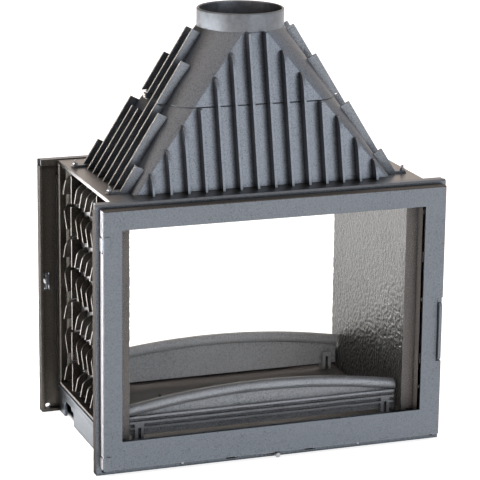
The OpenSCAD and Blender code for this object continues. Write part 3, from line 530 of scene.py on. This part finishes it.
def repaint_door(piece, side):
    # The door's top face and its latch edge get painted shade
    repaint(piece, dark_backs_and_shade, lambda middle, normal: middle.z > DOOR_TOP_Z and normal.z > 0.5 or (
        side * middle.x < -DOOR_RIGHT_X and side * normal.x < -0.5))
    # The door's hinge edge gets a painted highlight
    repaint(piece, edge_highlight, lambda middle, normal: side * middle.x > DOOR_LEFT_X and sideways(normal))
    # The sides of the door's window get painted shade
    repaint(piece, dark_backs_and_shade, lambda middle, normal: abs(middle.x) < WINDOW_X and sideways(normal))


for node, (width, material) in softened.items():
    piece = soften(node, width * MM, material)
    side = -1 if node.startswith("front") else 1
    if node.endswith("_frame"):
        repaint_frame(piece, side)
    if node.endswith("_door"):
        repaint_door(piece, side)
    print("softened", node, len(piece.data.polygons), "faces")

# %% [markdown]
# ## Geometry Nodes helpers
# A tree takes a mesh of points: one for each fin or fastener, or one for each corner of a path. What differs
# from point to point is stored as an attribute, and what all share is a named input. The tree ends with real
# geometry and its material, and the modifier is then swapped for the mesh that it makes.


# %% Tree helpers
def geometry_tree(name, **inputs):
    tree = bpy.data.node_groups.new(name, "GeometryNodeTree")
    tree.interface.new_socket("Geometry", in_out="INPUT", socket_type="NodeSocketGeometry")
    for label, value in inputs.items():
        kind = "NodeSocketInt" if isinstance(value, int) else "NodeSocketFloat"
        plug = tree.interface.new_socket(label.replace("_", " "), in_out="INPUT", socket_type=kind)
        plug.default_value = value
    tree.interface.new_socket("Material", in_out="INPUT", socket_type="NodeSocketMaterial")
    tree.interface.new_socket("Geometry", in_out="OUTPUT", socket_type="NodeSocketGeometry")
    source = tree.nodes.new("NodeGroupInput")
    return tree, lambda label: Wire(tree, source.outputs[label])


def stored(tree, name):
    node = add_node(tree, "GeometryNodeInputNamedAttribute", {"data_type": "FLOAT"}, Name=name)
    return out(node, "Attribute")


def real_instances(tree, points, instance):
    placed = add_node(tree, "GeometryNodeInstanceOnPoints", Points=points, Instance=out(instance))
    return out(add_node(tree, "GeometryNodeRealizeInstances", Geometry=out(placed)))


def turned_by(tree, east, south, height):
    """A place turned about the upright axis by the angle that its point stores."""
    turn = stored(tree, "turn")
    cosine, sine = turn.math("COSINE"), turn.math("SINE")
    return vector_of(tree, east * cosine + south * sine, east * sine - south * cosine, height)


def close_tree(tree, given, geometry):
    real = add_node(tree, "GeometryNodeRealizeInstances", Geometry=geometry)
    painted = add_node(tree, "GeometryNodeSetMaterial", Geometry=out(real), Material=given("Material"))
    connect(tree, out(painted), tree.nodes.new("NodeGroupOutput").inputs["Geometry"])


def grow(name, tree, points, material, edges=(), **inputs):
    """The mesh that a tree makes from points, each a dictionary of stored values."""
    mesh = bpy.data.meshes.new(name)
    mesh.from_pydata([point.get("place", (0, 0, 0)) for point in points], edges, [])
    for key in points[0]:
        if key != "place":
            numbers = mesh.attributes.new(key, "FLOAT", "POINT")
            numbers.data.foreach_set("value", [float(point[key]) for point in points])
    piece = bpy.data.objects.new(name, mesh)
    bpy.context.scene.collection.objects.link(piece)
    modifier = piece.modifiers.new(tree.name, "NODES")
    modifier.node_group = tree
    values = {key.replace("_", " "): value for key, value in inputs.items()} | {"Material": material}
    for item in tree.interface.items_tree:
        if item.in_out == "INPUT" and item.name in values:
            modifier[item.identifier] = values[item.name]
    return settle(piece)


def add_and_remove(bm, piece):
    """Moves a grown mesh into a larger one."""
    bm.from_mesh(piece.data)
    for face in bm.faces:
        face.material_index = 0
    bpy.data.objects.remove(piece)


print("helpers for trees ready")

# %% [markdown]
# ## Fins
# Hood and casings carry the same kind of fin: a thin blade that grows out of a wall, follows its slope and
# ends in a rounded sweep or a square cut. There are well over a hundred, too many to shape by hand, so one
# tree bends a blank block into each fin by this rule.

# %% The tree for fins
wall_fins, given = geometry_tree("wall_fins", Thickness=0.0055, Root=0.004, Wall_Low=0.0, Wall_Rise=1.0)
blank = add_node(wall_fins, "GeometryNodeMeshCube", Size=(1, 1, 1), Vertices_X=2, Vertices_Y=3, Vertices_Z=25)
blocks = real_instances(wall_fins, given("Geometry"), blank)
u, v, w = split(out(wall_fins.nodes.new("GeometryNodeInputPosition")))
v = v + 0.5
from_head = 0.5 - w
up = 1.0 - from_head * from_head
foot, head, depth, nose = (stored(wall_fins, name) for name in ("foot", "head", "depth", "nose"))
height = foot + up * (head - foot - stored(wall_fins, "cut") * (1.0 - v))
base = stored(wall_fins, "base")
wall = base + (stored(wall_fins, "top") - base) * (height - given("Wall Low")) / given("Wall Rise")
swept = 1.0 - ((head - height) / stored(wall_fins, "sweep")).least(1.0).most(0.0)
reach = nose + (depth - nose) * (1.0 - swept * swept).most(0.0).math("SQRT")
away = wall - given("Root") + v * (reach + given("Root"))
along = stored(wall_fins, "across") + stored(wall_fins, "lean") * (up - 0.5) + u * given("Thickness")
shaped = add_node(wall_fins, "GeometryNodeSetPosition", Geometry=blocks,
                  Position=turned_by(wall_fins, along, away, height))
close_tree(wall_fins, given, out(shaped))
print("tree", wall_fins.name, "with", len(wall_fins.nodes), "nodes")

# %% [markdown]
# ## Hood
# Two castings carry the smoke from the long rectangle of the top plate to the round collar. Each wall is a
# blend of a rounded rectangle below and a circle with four short flats above. The castings meet at a seam
# with a fine chamfer, held by a bolt through a lug on each side.

# %% Sizes of the hood
TOP_Z, SEAM_Z, HOOD_TOP = 0.618, 0.797, 0.955
HOOD_X, HOOD_Y, HOOD_WALL, HOOD_CORNER = 0.308, 0.170, 0.008, 0.012
COLLAR_R, THROAT_R, FLAT_X, FLAT_Y = 0.100, 0.084, 0.027, 0.024
TOP_HALF_X, TOP_HALF_Y = math.sqrt(COLLAR_R**2 - FLAT_Y**2), math.sqrt(COLLAR_R**2 - FLAT_X**2)
SEAM_CHAMFER, ARC_STEPS = 0.0015, 16
STUD_X, STUD_Y, FOOT_R, FOOT_T, FOOT_ROOT = 0.352, 0.136, 0.009, 0.005, 0.006
SEAM_LUG_ROOT, SEAM_LUG_OUT, SEAM_LUG_HALF, SEAM_LUG_T, SEAM_BOLT_OUT = 0.005, 0.020, 0.009, 0.006, 0.013
QUARTERS = ((1, 1), (-1, 1), (-1, -1), (1, -1))


def hood_half(low, high, z):
    return low + (high - low) * (z - TOP_Z) / (HOOD_TOP - TOP_Z)


seam_x = hood_half(HOOD_X, TOP_HALF_X, SEAM_Z)
print("half width of the hood at its seam:", round(seam_x, 4), "m")

# %% [markdown]
# A wall is skinned through rings of points at its heights. All rings have the same number of points, so each
# point simply joins the one above it, and the last ring joins the first to give the wall its thickness.


# %% Hood walls
def around():
    for quarter, signs in enumerate(QUARTERS):
        for step in range(ARC_STEPS + 1):
            angle = math.pi / 2 * (quarter + step / ARC_STEPS)
            yield signs, math.cos(angle), math.sin(angle)


def hood_ring(z, inset=0.0):
    ring = []
    for (side_x, side_y), c, s in around():
        r = COLLAR_R - inset
        high_x = side_x * max(FLAT_X, min(abs(c) * r, TOP_HALF_X - inset))
        high_y = side_y * max(FLAT_Y, min(abs(s) * r, TOP_HALF_Y - inset))
        low_x = side_x * (HOOD_X - HOOD_CORNER) + (HOOD_CORNER - inset) * c
        low_y = side_y * (HOOD_Y - HOOD_CORNER) + (HOOD_CORNER - inset) * s
        ring.append((hood_half(low_x, high_x, z), hood_half(low_y, high_y, z), z))
    return ring


def round_ring(z, r):
    return [(r * c, r * s, z) for _, c, s in around()]


def closed_loft(bm, rings):
    """Skins a list of rings, the last joined to the first."""
    loops = [[bm.verts.new(point) for point in ring] for ring in rings]
    for low, high in zip(loops, loops[1:] + loops[:1]):
        for i in range(len(low)):
            j = (i + 1) % len(low)
            bm.faces.new((low[i], low[j], high[j], high[i]))
    bmesh.ops.remove_doubles(bm, verts=bm.verts, dist=1e-6)
    bmesh.ops.recalc_face_normals(bm, faces=bm.faces)


def box(bm, x0, x1, y0, y1, z0, z1):
    prism(bm, [(x0, y0), (x1, y0), (x1, y1), (x0, y1)], z0, z1)


print("a ring of the hood has", len(hood_ring(TOP_Z)), "points")

# %% [markdown]
# The fins stand upright at one pitch, seven on each half of a broad face and four on each half of a narrow
# one. A fin ends where the leaning corner of the hood would cut it, and fins beside a seam bolt leave room
# for a spanner. Broad fins end in a rounded sweep with a blunt nose, and narrow ones are cut square.

# %% Fins of the hood
FIN_PITCH, SHORTEST_FIN = 0.041, 0.02
BROAD_FINS, BROAD_MARGIN, BROAD_REACH, BROAD_NOSE, BROAD_SWEEP = 7, 0.0063, 0.024, 0.009, 0.034
NARROW_FINS, NARROW_MARGIN, NARROW_TOP_Y, NARROW_REACH, NARROW_SWEEP = 4, 0.003, 0.040, 0.025, 0.01
ROOM_ABOVE_LUG, ROOM_BELOW_LUG, FINS_BESIDE_BOLT = 0.009, 0.026, 2
hood_rise = HOOD_TOP - TOP_Z


def broad_fins(low, high):
    """Points for the fins on the front and the rear face."""
    points = []
    for i in range(BROAD_FINS):
        across = (i + 0.5) * FIN_PITCH
        share = (HOOD_X - BROAD_MARGIN - across) / (HOOD_X - BROAD_MARGIN - FLAT_X)
        head = min(TOP_Z + hood_rise * min(1, share), high)
        if head > low + SHORTEST_FIN:
            points += [{"across": place, "turn": turn, "foot": low, "head": head, "base": HOOD_Y,
                        "top": TOP_HALF_Y, "depth": BROAD_REACH, "sweep": BROAD_SWEEP, "cut": 0, "lean": 0,
                        "nose": BROAD_NOSE if head < high else BROAD_REACH}
                       for place in (across, -across) for turn in (0, math.pi)]
    return points


def narrow_fins(low, high):
    """Points for the fins on the left and the right face."""
    fall = (HOOD_X - TOP_HALF_X) / hood_rise
    cut = NARROW_REACH * fall / (1 + fall * fall)
    points = []
    for i in range(NARROW_FINS):
        across = (i + 0.5) * FIN_PITCH
        share = (HOOD_Y - NARROW_MARGIN - across) / (HOOD_Y - NARROW_TOP_Y)
        for place in (across, -across):
            beside_bolt = place > 0 and i < FINS_BESIDE_BOLT
            foot = low + ROOM_ABOVE_LUG if beside_bolt and low > TOP_Z else low
            head = high - ROOM_BELOW_LUG if beside_bolt and high < HOOD_TOP else high
            head = min(TOP_Z + hood_rise * min(1, share), head)
            if head > foot + SHORTEST_FIN:
                points += [{"across": side * place, "turn": side * math.pi / 2, "foot": foot, "head": head,
                            "base": HOOD_X, "top": TOP_HALF_X, "depth": NARROW_REACH, "nose": NARROW_REACH,
                            "sweep": NARROW_SWEEP, "cut": cut, "lean": 0} for side in (-1, 1)]
    return points


print("fins below the seam:", len(broad_fins(TOP_Z, SEAM_Z) + narrow_fins(TOP_Z, SEAM_Z)))


# %% Lugs of the hood
def foot_lug(bm, side_x, side_y):
    """A round-ended lug at the hood's foot, which a stud holds down."""
    bend = [math.pi / 2 + math.pi * k / 12 for k in range(13)]
    outline = [(-STUD_X + FOOT_R * math.cos(a), STUD_Y + FOOT_R * math.sin(a)) for a in bend]
    outline += [(-HOOD_X + FOOT_ROOT, STUD_Y - FOOT_R), (-HOOD_X + FOOT_ROOT, STUD_Y + FOOT_R)]
    prism(bm, [(x * side_x, y * side_y) for x, y in outline], TOP_Z, TOP_Z + FOOT_T)


def seam_lug(bm, side, thickness):
    """A square lug at the seam, above it or, with a negative thickness, below it."""
    ends = sorted((side * (seam_x - SEAM_LUG_ROOT), side * (seam_x + SEAM_LUG_OUT)))
    box(bm, *ends, FIN_PITCH - SEAM_LUG_HALF, FIN_PITCH + SEAM_LUG_HALF,
        *sorted((SEAM_Z, SEAM_Z + thickness)))


print("studs at", STUD_X, STUD_Y)

# %% Hood castings
FIN_TIP = 0.018
lower_rings = [hood_ring(TOP_Z), hood_ring(SEAM_Z - SEAM_CHAMFER), hood_ring(SEAM_Z, SEAM_CHAMFER),
               hood_ring(SEAM_Z, HOOD_WALL), hood_ring(TOP_Z, HOOD_WALL)]
upper_rings = [hood_ring(SEAM_Z, SEAM_CHAMFER), hood_ring(SEAM_Z + SEAM_CHAMFER), hood_ring(HOOD_TOP),
               round_ring(HOOD_TOP, THROAT_R), round_ring(HOOD_TOP - HOOD_WALL, THROAT_R),
               hood_ring(HOOD_TOP - HOOD_WALL, HOOD_WALL), hood_ring(SEAM_Z, HOOD_WALL)]
for name, rings, low, high, lug in (("hood_lower", lower_rings, TOP_Z, SEAM_Z, -SEAM_LUG_T),
                                    ("hood_upper", upper_rings, SEAM_Z, HOOD_TOP, SEAM_LUG_T)):
    bm = bmesh.new()
    closed_loft(bm, rings)
    for side in (-1, 1):
        seam_lug(bm, side, lug)
        if name == "hood_lower":
            foot_lug(bm, side, 1)
            foot_lug(bm, side, -1)
    fins = broad_fins(low, high) + narrow_fins(low, high)
    add_and_remove(bm, grow(name + "_fins", wall_fins, fins, hood_paint, Wall_Low=TOP_Z, Wall_Rise=hood_rise))
    piece = finish_piece(name + "_casting", bm, 0.9 * MM, hood_paint, name)
    # The sideways tips of the fins get a painted highlight
    repaint(piece, fin_edge_highlight, lambda middle, normal: (
        abs(normal.x) > 0.6 and abs(middle.x) - hood_half(HOOD_X, TOP_HALF_X, middle.z) > FIN_TIP))
    print(name, "has", len(fins), "fins and", len(piece.data.polygons), "faces")

# %% [markdown]
# ## Side casings
# Each side of the fire is closed by a plate that lies back between two flanges. Seven rows of slanted fins
# change their lean from row to row, and short upright ribs stand between the columns. The tree for fins
# serves again: a lean and a nose of nothing make the slanted hooks, and a full nose makes the ribs.

# %% Fins of the casings
BODY_X, CASING_X, PLATE_T, CASING_TOP = 0.372, 0.350, 0.008, 0.610
HEARTH_Z, SKIRT_H, SILL_T = 0.052, 0.070, 0.005
BACK_Y, FLANGE, FLANGE_BEVEL, FLANGE_FOOT = 0.216, 0.010, 0.003, 0.005
ROW_PITCH, ROWS, CASING_REACH, FIN_LEAN, RIB_SHIFT = 0.0755, 7, 0.022, 0.030, 0.0015
FIN_HALF, RIB_HALF = 0.027, 0.03375
FIN_COLUMNS, RIB_COLUMNS = (-1.5, -0.5, 0.5, 1.5, -3.8, 3.8), (-2.5, 2.5)


def casing_fins(side):
    points = []
    for row in range(ROWS):
        middle = CASING_TOP - (ROWS - row - 0.5) * ROW_PITCH
        lean = 1 if (ROWS - row) % 2 == 0 else -1
        common = {"turn": side * math.pi / 2, "base": CASING_X, "top": CASING_X, "cut": 0,
                  "depth": CASING_REACH, "sweep": CASING_REACH}
        for column in FIN_COLUMNS:
            points.append({**common, "across": column * FIN_PITCH, "lean": -FIN_LEAN * lean, "nose": 0,
                           "foot": middle - FIN_HALF, "head": middle + FIN_HALF})
        for column in RIB_COLUMNS:
            points.append({**common, "across": -(column * FIN_PITCH + lean * RIB_SHIFT), "lean": 0,
                           "nose": CASING_REACH, "foot": middle - RIB_HALF, "head": middle + RIB_HALF})
    return points


print("fins and ribs on a casing:", len(casing_fins(-1)))

# %% [markdown]
# The plate and the sill under the fins reach into the two flanges, as one pour would join them. Both stop a
# little short of the flanges' ends, because two visible faces in one plane would flicker in a render.

# %% Casings
OVERLAP, SILL_INSET, PLATE_INSET, TOP_INSET = 0.001, 0.001, 0.002, 0.0002
END_SLACK, TIP_SLACK, TIP_END_Y = 0.0005, 0.0006, 0.19
flange_face, plate_back = BACK_Y - FLANGE, CASING_X - PLATE_T
flange = [(BODY_X, BACK_Y), (BODY_X, flange_face + FLANGE_BEVEL), (BODY_X - FLANGE_BEVEL, flange_face),
          (CASING_X + FLANGE_FOOT, flange_face), (CASING_X, flange_face - FLANGE_FOOT),
          (plate_back, flange_face - FLANGE_FOOT), (plate_back, BACK_Y)]
for name, side in (("left_casing", -1), ("right_casing", 1)):
    bm = bmesh.new()
    box(bm, *sorted((side * CASING_X, side * plate_back)), PLATE_INSET - BACK_Y, BACK_Y - PLATE_INSET,
        HEARTH_Z, CASING_TOP - TOP_INSET)
    box(bm, *sorted((side * BODY_X, side * (CASING_X - OVERLAP))), SILL_INSET - BACK_Y, BACK_Y - SILL_INSET,
        SKIRT_H, SKIRT_H + SILL_T)
    for end in (-1, 1):
        prism(bm, [(side * x, end * y) for x, y in flange], SKIRT_H, CASING_TOP)
    # Fins and plate take the near-black casing finish, which is painted shade
    add_and_remove(bm, grow(name + "_fins", wall_fins, casing_fins(side), shaded_casing_paint))
    piece = finish_piece(name + "_casting", bm, 0.7 * MM, shaded_casing_paint, name)
    # The plate's outer faces between the fins get a painted highlight
    repaint(piece, lit_plate_highlight, lambda middle, normal: (
        side * normal.x > 0.9 and abs(middle.x) < CASING_X + OVERLAP))
    # The end faces get painted shade
    repaint(piece, shaded_end_paint, lambda middle, normal: abs(middle.y) > BACK_Y - END_SLACK)
    # The outer tips of the casing fins get a painted highlight
    repaint(piece, sliver_highlight, lambda middle, normal: (
        abs(middle.x) > BODY_X - TIP_SLACK and abs(middle.y) < TIP_END_Y))
    print(name, "has", len(piece.data.polygons), "faces")

# %% [markdown]
# ## Hammered liners
# The inner face of each liner is beaten all over. A bump in the material would look flat from close by, so
# the tree stretches a finely divided slab to the liner's size and presses a round dimple into it for every
# cell of a Voronoi pattern.

# %% The tree for liners
LINER_X, LINER_T = 0.330, 0.012
hammered_slab, given = geometry_tree("hammered_slab", Face=LINER_X, Thickness=LINER_T, Half_Length=BACK_Y,
                                     Low=HEARTH_Z, High=CASING_TOP, Dimple=0.0017, Cells=130.0)
blank = add_node(hammered_slab, "GeometryNodeMeshCube", Size=(1, 1, 1), Vertices_X=2, Vertices_Y=257,
                 Vertices_Z=333)
slab = real_instances(hammered_slab, given("Geometry"), blank)
u, v, w = split(out(hammered_slab.nodes.new("GeometryNodeInputPosition")))
inner = 0.5 - u
length = v * given("Half Length") * 2.0
height = given("Low") + (w + 0.5) * (given("High") - given("Low"))
cells = add_node(hammered_slab, "ShaderNodeTexVoronoi", Vector=vector_of(hammered_slab, 0.0, length, height),
                 Scale=given("Cells"))
hollow = (1.0 - out(cells, "Distance") * 1.25).most(0.0)
across = given("Face") + given("Thickness") * (1.0 - inner) + given("Dimple") * inner * hollow
shaped = add_node(hammered_slab, "GeometryNodeSetPosition", Geometry=slab,
                  Position=turned_by(hammered_slab, across, length * -1.0, height))
close_tree(hammered_slab, given, out(shaped))
print("tree", hammered_slab.name, "with", len(hammered_slab.nodes), "nodes")

# %% [markdown]
# The slab is cut as finely behind as in front. Its back is flat and lies against the casing, so all its
# small faces are joined into one, which halves the number of triangles and leaves the shape as it is.


# %% Liners
def join_back(piece):
    bm = bmesh.new()
    bm.from_mesh(piece.data)
    back = [face for face in bm.faces if abs(face.calc_center_median().x) > LINER_X + LINER_T - END_SLACK]
    bmesh.ops.dissolve_faces(bm, faces=back)
    bm.to_mesh(piece.data)
    bm.free()


for name, turn in (("right_liner", 0.0), ("left_liner", math.pi)):
    piece = grow(name + "_hammered", hammered_slab, [{"turn": turn}], liner_iron)
    join_back(piece)
    piece.data.shade_smooth()
    piece.data.set_sharp_from_angle(angle=math.radians(60))
    # The liner's end faces get painted shade
    repaint(piece, shaded_end_paint, lambda middle, normal: (
        abs(middle.y) > BACK_Y - END_SLACK and abs(normal.y) > 0.9))
    stand_for(piece, name)
    print(name, len(piece.data.polygons), "faces")

# %% [markdown]
# ## Turned pieces
# The collar is a turned ring with a rolled lip and an inner ledge for the pipe. The studs have threads. Both
# are an outline turned about an upright axis, as on a lathe, so one function makes them. A thread that
# climbs isn't worth its faces at this size, and rings of two radii in turn look the same.


# %% Collar
def turned(bm, profile, x=0.0, y=0.0, segments=96):
    """Turns an outline of (radius, height) points about an upright axis and closes it."""
    circle = [(math.cos(math.tau * k / segments), math.sin(math.tau * k / segments)) for k in range(segments)]
    closed_loft(bm, [[(x + r * c, y + r * s, z) for c, s in circle] for r, z in profile])


COLLAR_TOP, LIP_R, BORE_R, LEDGE_T = 0.996, 0.003, 0.094, 0.004
lip = [(COLLAR_R - LIP_R + LIP_R * math.sin(a), COLLAR_TOP - LIP_R + LIP_R * math.cos(a))
       for a in (math.pi * k / 12 for k in range(6, -7, -1))]
bm = bmesh.new()
turned(bm, [(COLLAR_R, HOOD_TOP), *lip, (BORE_R, HOOD_TOP + LEDGE_T), (THROAT_R, HOOD_TOP + LEDGE_T),
            (THROAT_R, HOOD_TOP)])
piece = finish_piece("flue_collar_turned", bm, 0.3 * MM, collar_steel, "flue_collar")
print("collar", len(piece.data.polygons), "faces")

# %% Studs
STUD_LOW, STUD_TOP, STUD_R, THREAD, THREAD_DEPTH = 0.610, 0.635, 0.003, 0.001, 0.0004
TIP_BEVEL, NEAR_AXIS = 0.001, 0.0001
threads = [(STUD_R - (THREAD_DEPTH if k % 2 else 0), STUD_LOW + k * THREAD / 2)
           for k in range(int((STUD_TOP - STUD_LOW) / THREAD * 2) - 1)]
stud = [(NEAR_AXIS, STUD_LOW), *threads, (STUD_R - TIP_BEVEL, STUD_TOP), (NEAR_AXIS, STUD_TOP)]
bm = bmesh.new()
for side_x, side_y in QUARTERS:
    turned(bm, stud, side_x * STUD_X, side_y * STUD_Y, segments=16)
piece = finish_piece("hood_studs_threaded", bm, 0, steel, "hood_studs")
print("studs", len(piece.data.polygons), "faces")

# %% [markdown]
# ## Bolts, nuts and screws
# The bolts, nuts and sill screws differ only in size and in the way they face. One tree sets a head, a
# washer face and a shank at each point and turns them to face along the direction stored there.

# %% The tree for fasteners
fasteners, given = geometry_tree("fasteners", Head_Sides=6, Head_Radius=0.005, Head_Height=0.004,
                                 Collar_Radius=0.005, Collar_Height=0.0006, Shank_Radius=0.003,
                                 Shank_Length=0.015)


def rod(sides, radius, length, bottom):
    """An upright cylinder of the fastener, with its lower end at a height."""
    cylinder = add_node(fasteners, "GeometryNodeMeshCylinder", Vertices=sides, Radius=radius, Depth=length)
    lift = vector_of(fasteners, 0.0, 0.0, length * 0.5 + bottom)
    return out(add_node(fasteners, "GeometryNodeTransform", Geometry=out(cylinder, "Mesh"), Translation=lift))


whole = fasteners.nodes.new("GeometryNodeJoinGeometry")
for solid in (rod(given("Head Sides"), given("Head Radius"), given("Head Height"), given("Collar Height")),
              rod(24, given("Collar Radius"), given("Collar Height"), 0.0),
              rod(16, given("Shank Radius"), given("Shank Length"), given("Shank Length") * -1.0)):
    fasteners.links.new(solid.socket, whole.inputs[0])
facing = vector_of(fasteners, *(stored(fasteners, name) for name in ("east", "north", "up")))
aligned = add_node(fasteners, "FunctionNodeAlignRotationToVector", {"axis": "Z"}, Vector=facing)
placed = add_node(fasteners, "GeometryNodeInstanceOnPoints", Points=given("Geometry"), Instance=out(whole),
                  Rotation=out(aligned))
close_tree(fasteners, given, out(placed))
print("tree", fasteners.name, "with", len(fasteners.nodes), "nodes")


# %% Bolts, nuts and sill screws
def fasten(node, points, width, **sizes):
    bm = bmesh.new()
    add_and_remove(bm, grow(node + "_blank", fasteners, points, steel, **sizes))
    piece = finish_piece(node + "_set", bm, width, steel, node)
    print(node, len(piece.data.polygons), "faces")


upright = {"east": 0, "north": 0, "up": 1}
bolt_points = [{"place": (side * (seam_x + SEAM_BOLT_OUT), FIN_PITCH, SEAM_Z + SEAM_LUG_T), **upright}
               for side in (-1, 1)]
fasten("seam_bolts", bolt_points, 0.4 * MM, Head_Height=0.0034)

nut_points = [{"place": (x * STUD_X, y * STUD_Y, TOP_Z + FOOT_T), **upright} for x, y in QUARTERS]
fasten("hood_nuts", nut_points, 0.5 * MM, Head_Radius=0.006, Head_Height=0.0044, Collar_Radius=0.0056,
       Shank_Length=0.001)

SCREW_X, FRAME_FACE_Y, SCREW_Z = 0.2135, 0.240, 0.009
screw_points = [{"place": (x * SCREW_X, y * FRAME_FACE_Y, SCREW_Z), "east": 0, "north": y, "up": 0}
                for x, y in QUARTERS]
fasten("strip_screws", screw_points, 0.3 * MM, Head_Sides=24, Head_Radius=0.0032, Head_Height=0.0012,
       Collar_Radius=0.0030, Collar_Height=0.0003, Shank_Radius=0.0015, Shank_Length=0.009)

# %% [markdown]
# ## Rope seals
# A braided rope of glass fibre lies in the groove round the back of each door. Its path is a rectangle, so
# four corner points are enough: the tree rounds them, sweeps a round section along the path and raises two
# crossing sets of strands on it.

# %% The tree for ropes
rope_seal, given = geometry_tree("rope_seal", Radius=0.0037, Corner=0.0042, Step=0.0016, Sides=12,
                                 Turns=250, Strands=3, Relief=0.0003)


def store(curve, name, value):
    return add_node(rope_seal, "GeometryNodeStoreNamedAttribute", Geometry=out(curve), Name=name, Value=value)


path = add_node(rope_seal, "GeometryNodeMeshToCurve", Mesh=given("Geometry"))
path = add_node(rope_seal, "GeometryNodeFilletCurve", {"mode": "POLY"}, Curve=out(path), Count=5,
                Radius=given("Corner"))
path = add_node(rope_seal, "GeometryNodeResampleCurve", {"mode": "LENGTH"}, Curve=out(path),
                Length=given("Step"))
path = store(path, "part_way", out(rope_seal.nodes.new("GeometryNodeSplineParameter"), "Factor"))
section = add_node(rope_seal, "GeometryNodeCurvePrimitiveCircle", Resolution=given("Sides"),
                   Radius=given("Radius"))
section = store(section, "corner", out(rope_seal.nodes.new("GeometryNodeInputIndex")))
rope = add_node(rope_seal, "GeometryNodeCurveToMesh", Curve=out(path), Profile_Curve=out(section))
along = stored(rope_seal, "part_way") * given("Turns") * math.tau
around_it = stored(rope_seal, "corner") * given("Strands") * math.tau / given("Sides")
raised = (along + around_it).math("SINE").most((along - around_it).math("SINE"))
outward = rope_seal.nodes.new("GeometryNodeInputNormal")
lift = add_node(rope_seal, "ShaderNodeVectorMath", {"operation": "SCALE"}, Vector=out(outward),
                Scale=raised * given("Relief"))
rope = add_node(rope_seal, "GeometryNodeSetPosition", Geometry=out(rope), Offset=out(lift))
close_tree(rope_seal, given, out(rope))
print("tree", rope_seal.name, "with", len(rope_seal.nodes), "nodes")

# %% [markdown]
# The rope's place is measured on the frame itself: its path runs half a rope's width inside the box of the
# packed seal.

# %% Rope seals
HALF_ROPE = 0.004
for side in ("front", "rear"):
    seal_points = [vertex.co for vertex in nodes[f"{side}_door_seal"].data.vertices]
    low, high = ([pick(point[axis] for point in seal_points) for axis in range(3)] for pick in (min, max))
    x0, x1, z0, z1 = low[0] + HALF_ROPE, high[0] - HALF_ROPE, low[2] + HALF_ROPE, high[2] - HALF_ROPE
    middle = (low[1] + high[1]) / 2
    corners = [{"place": (x, middle, z)} for x, z in ((x0, z0), (x1, z0), (x1, z1), (x0, z1))]
    bm = bmesh.new()
    add_and_remove(bm, grow(f"{side}_rope_blank", rope_seal, corners, rope_fibre,
                            edges=[(0, 1), (1, 2), (2, 3), (3, 0)]))
    bmesh.ops.recalc_face_normals(bm, faces=bm.faces)
    piece = finish_piece(f"{side}_rope_seal", bm, 0, rope_fibre, f"{side}_door_seal")
    print("rope seal", len(piece.data.polygons), "faces")

# %% [markdown]
# ## End
# The script ends by saying that it is done.

# %% End
print("insert dressed")
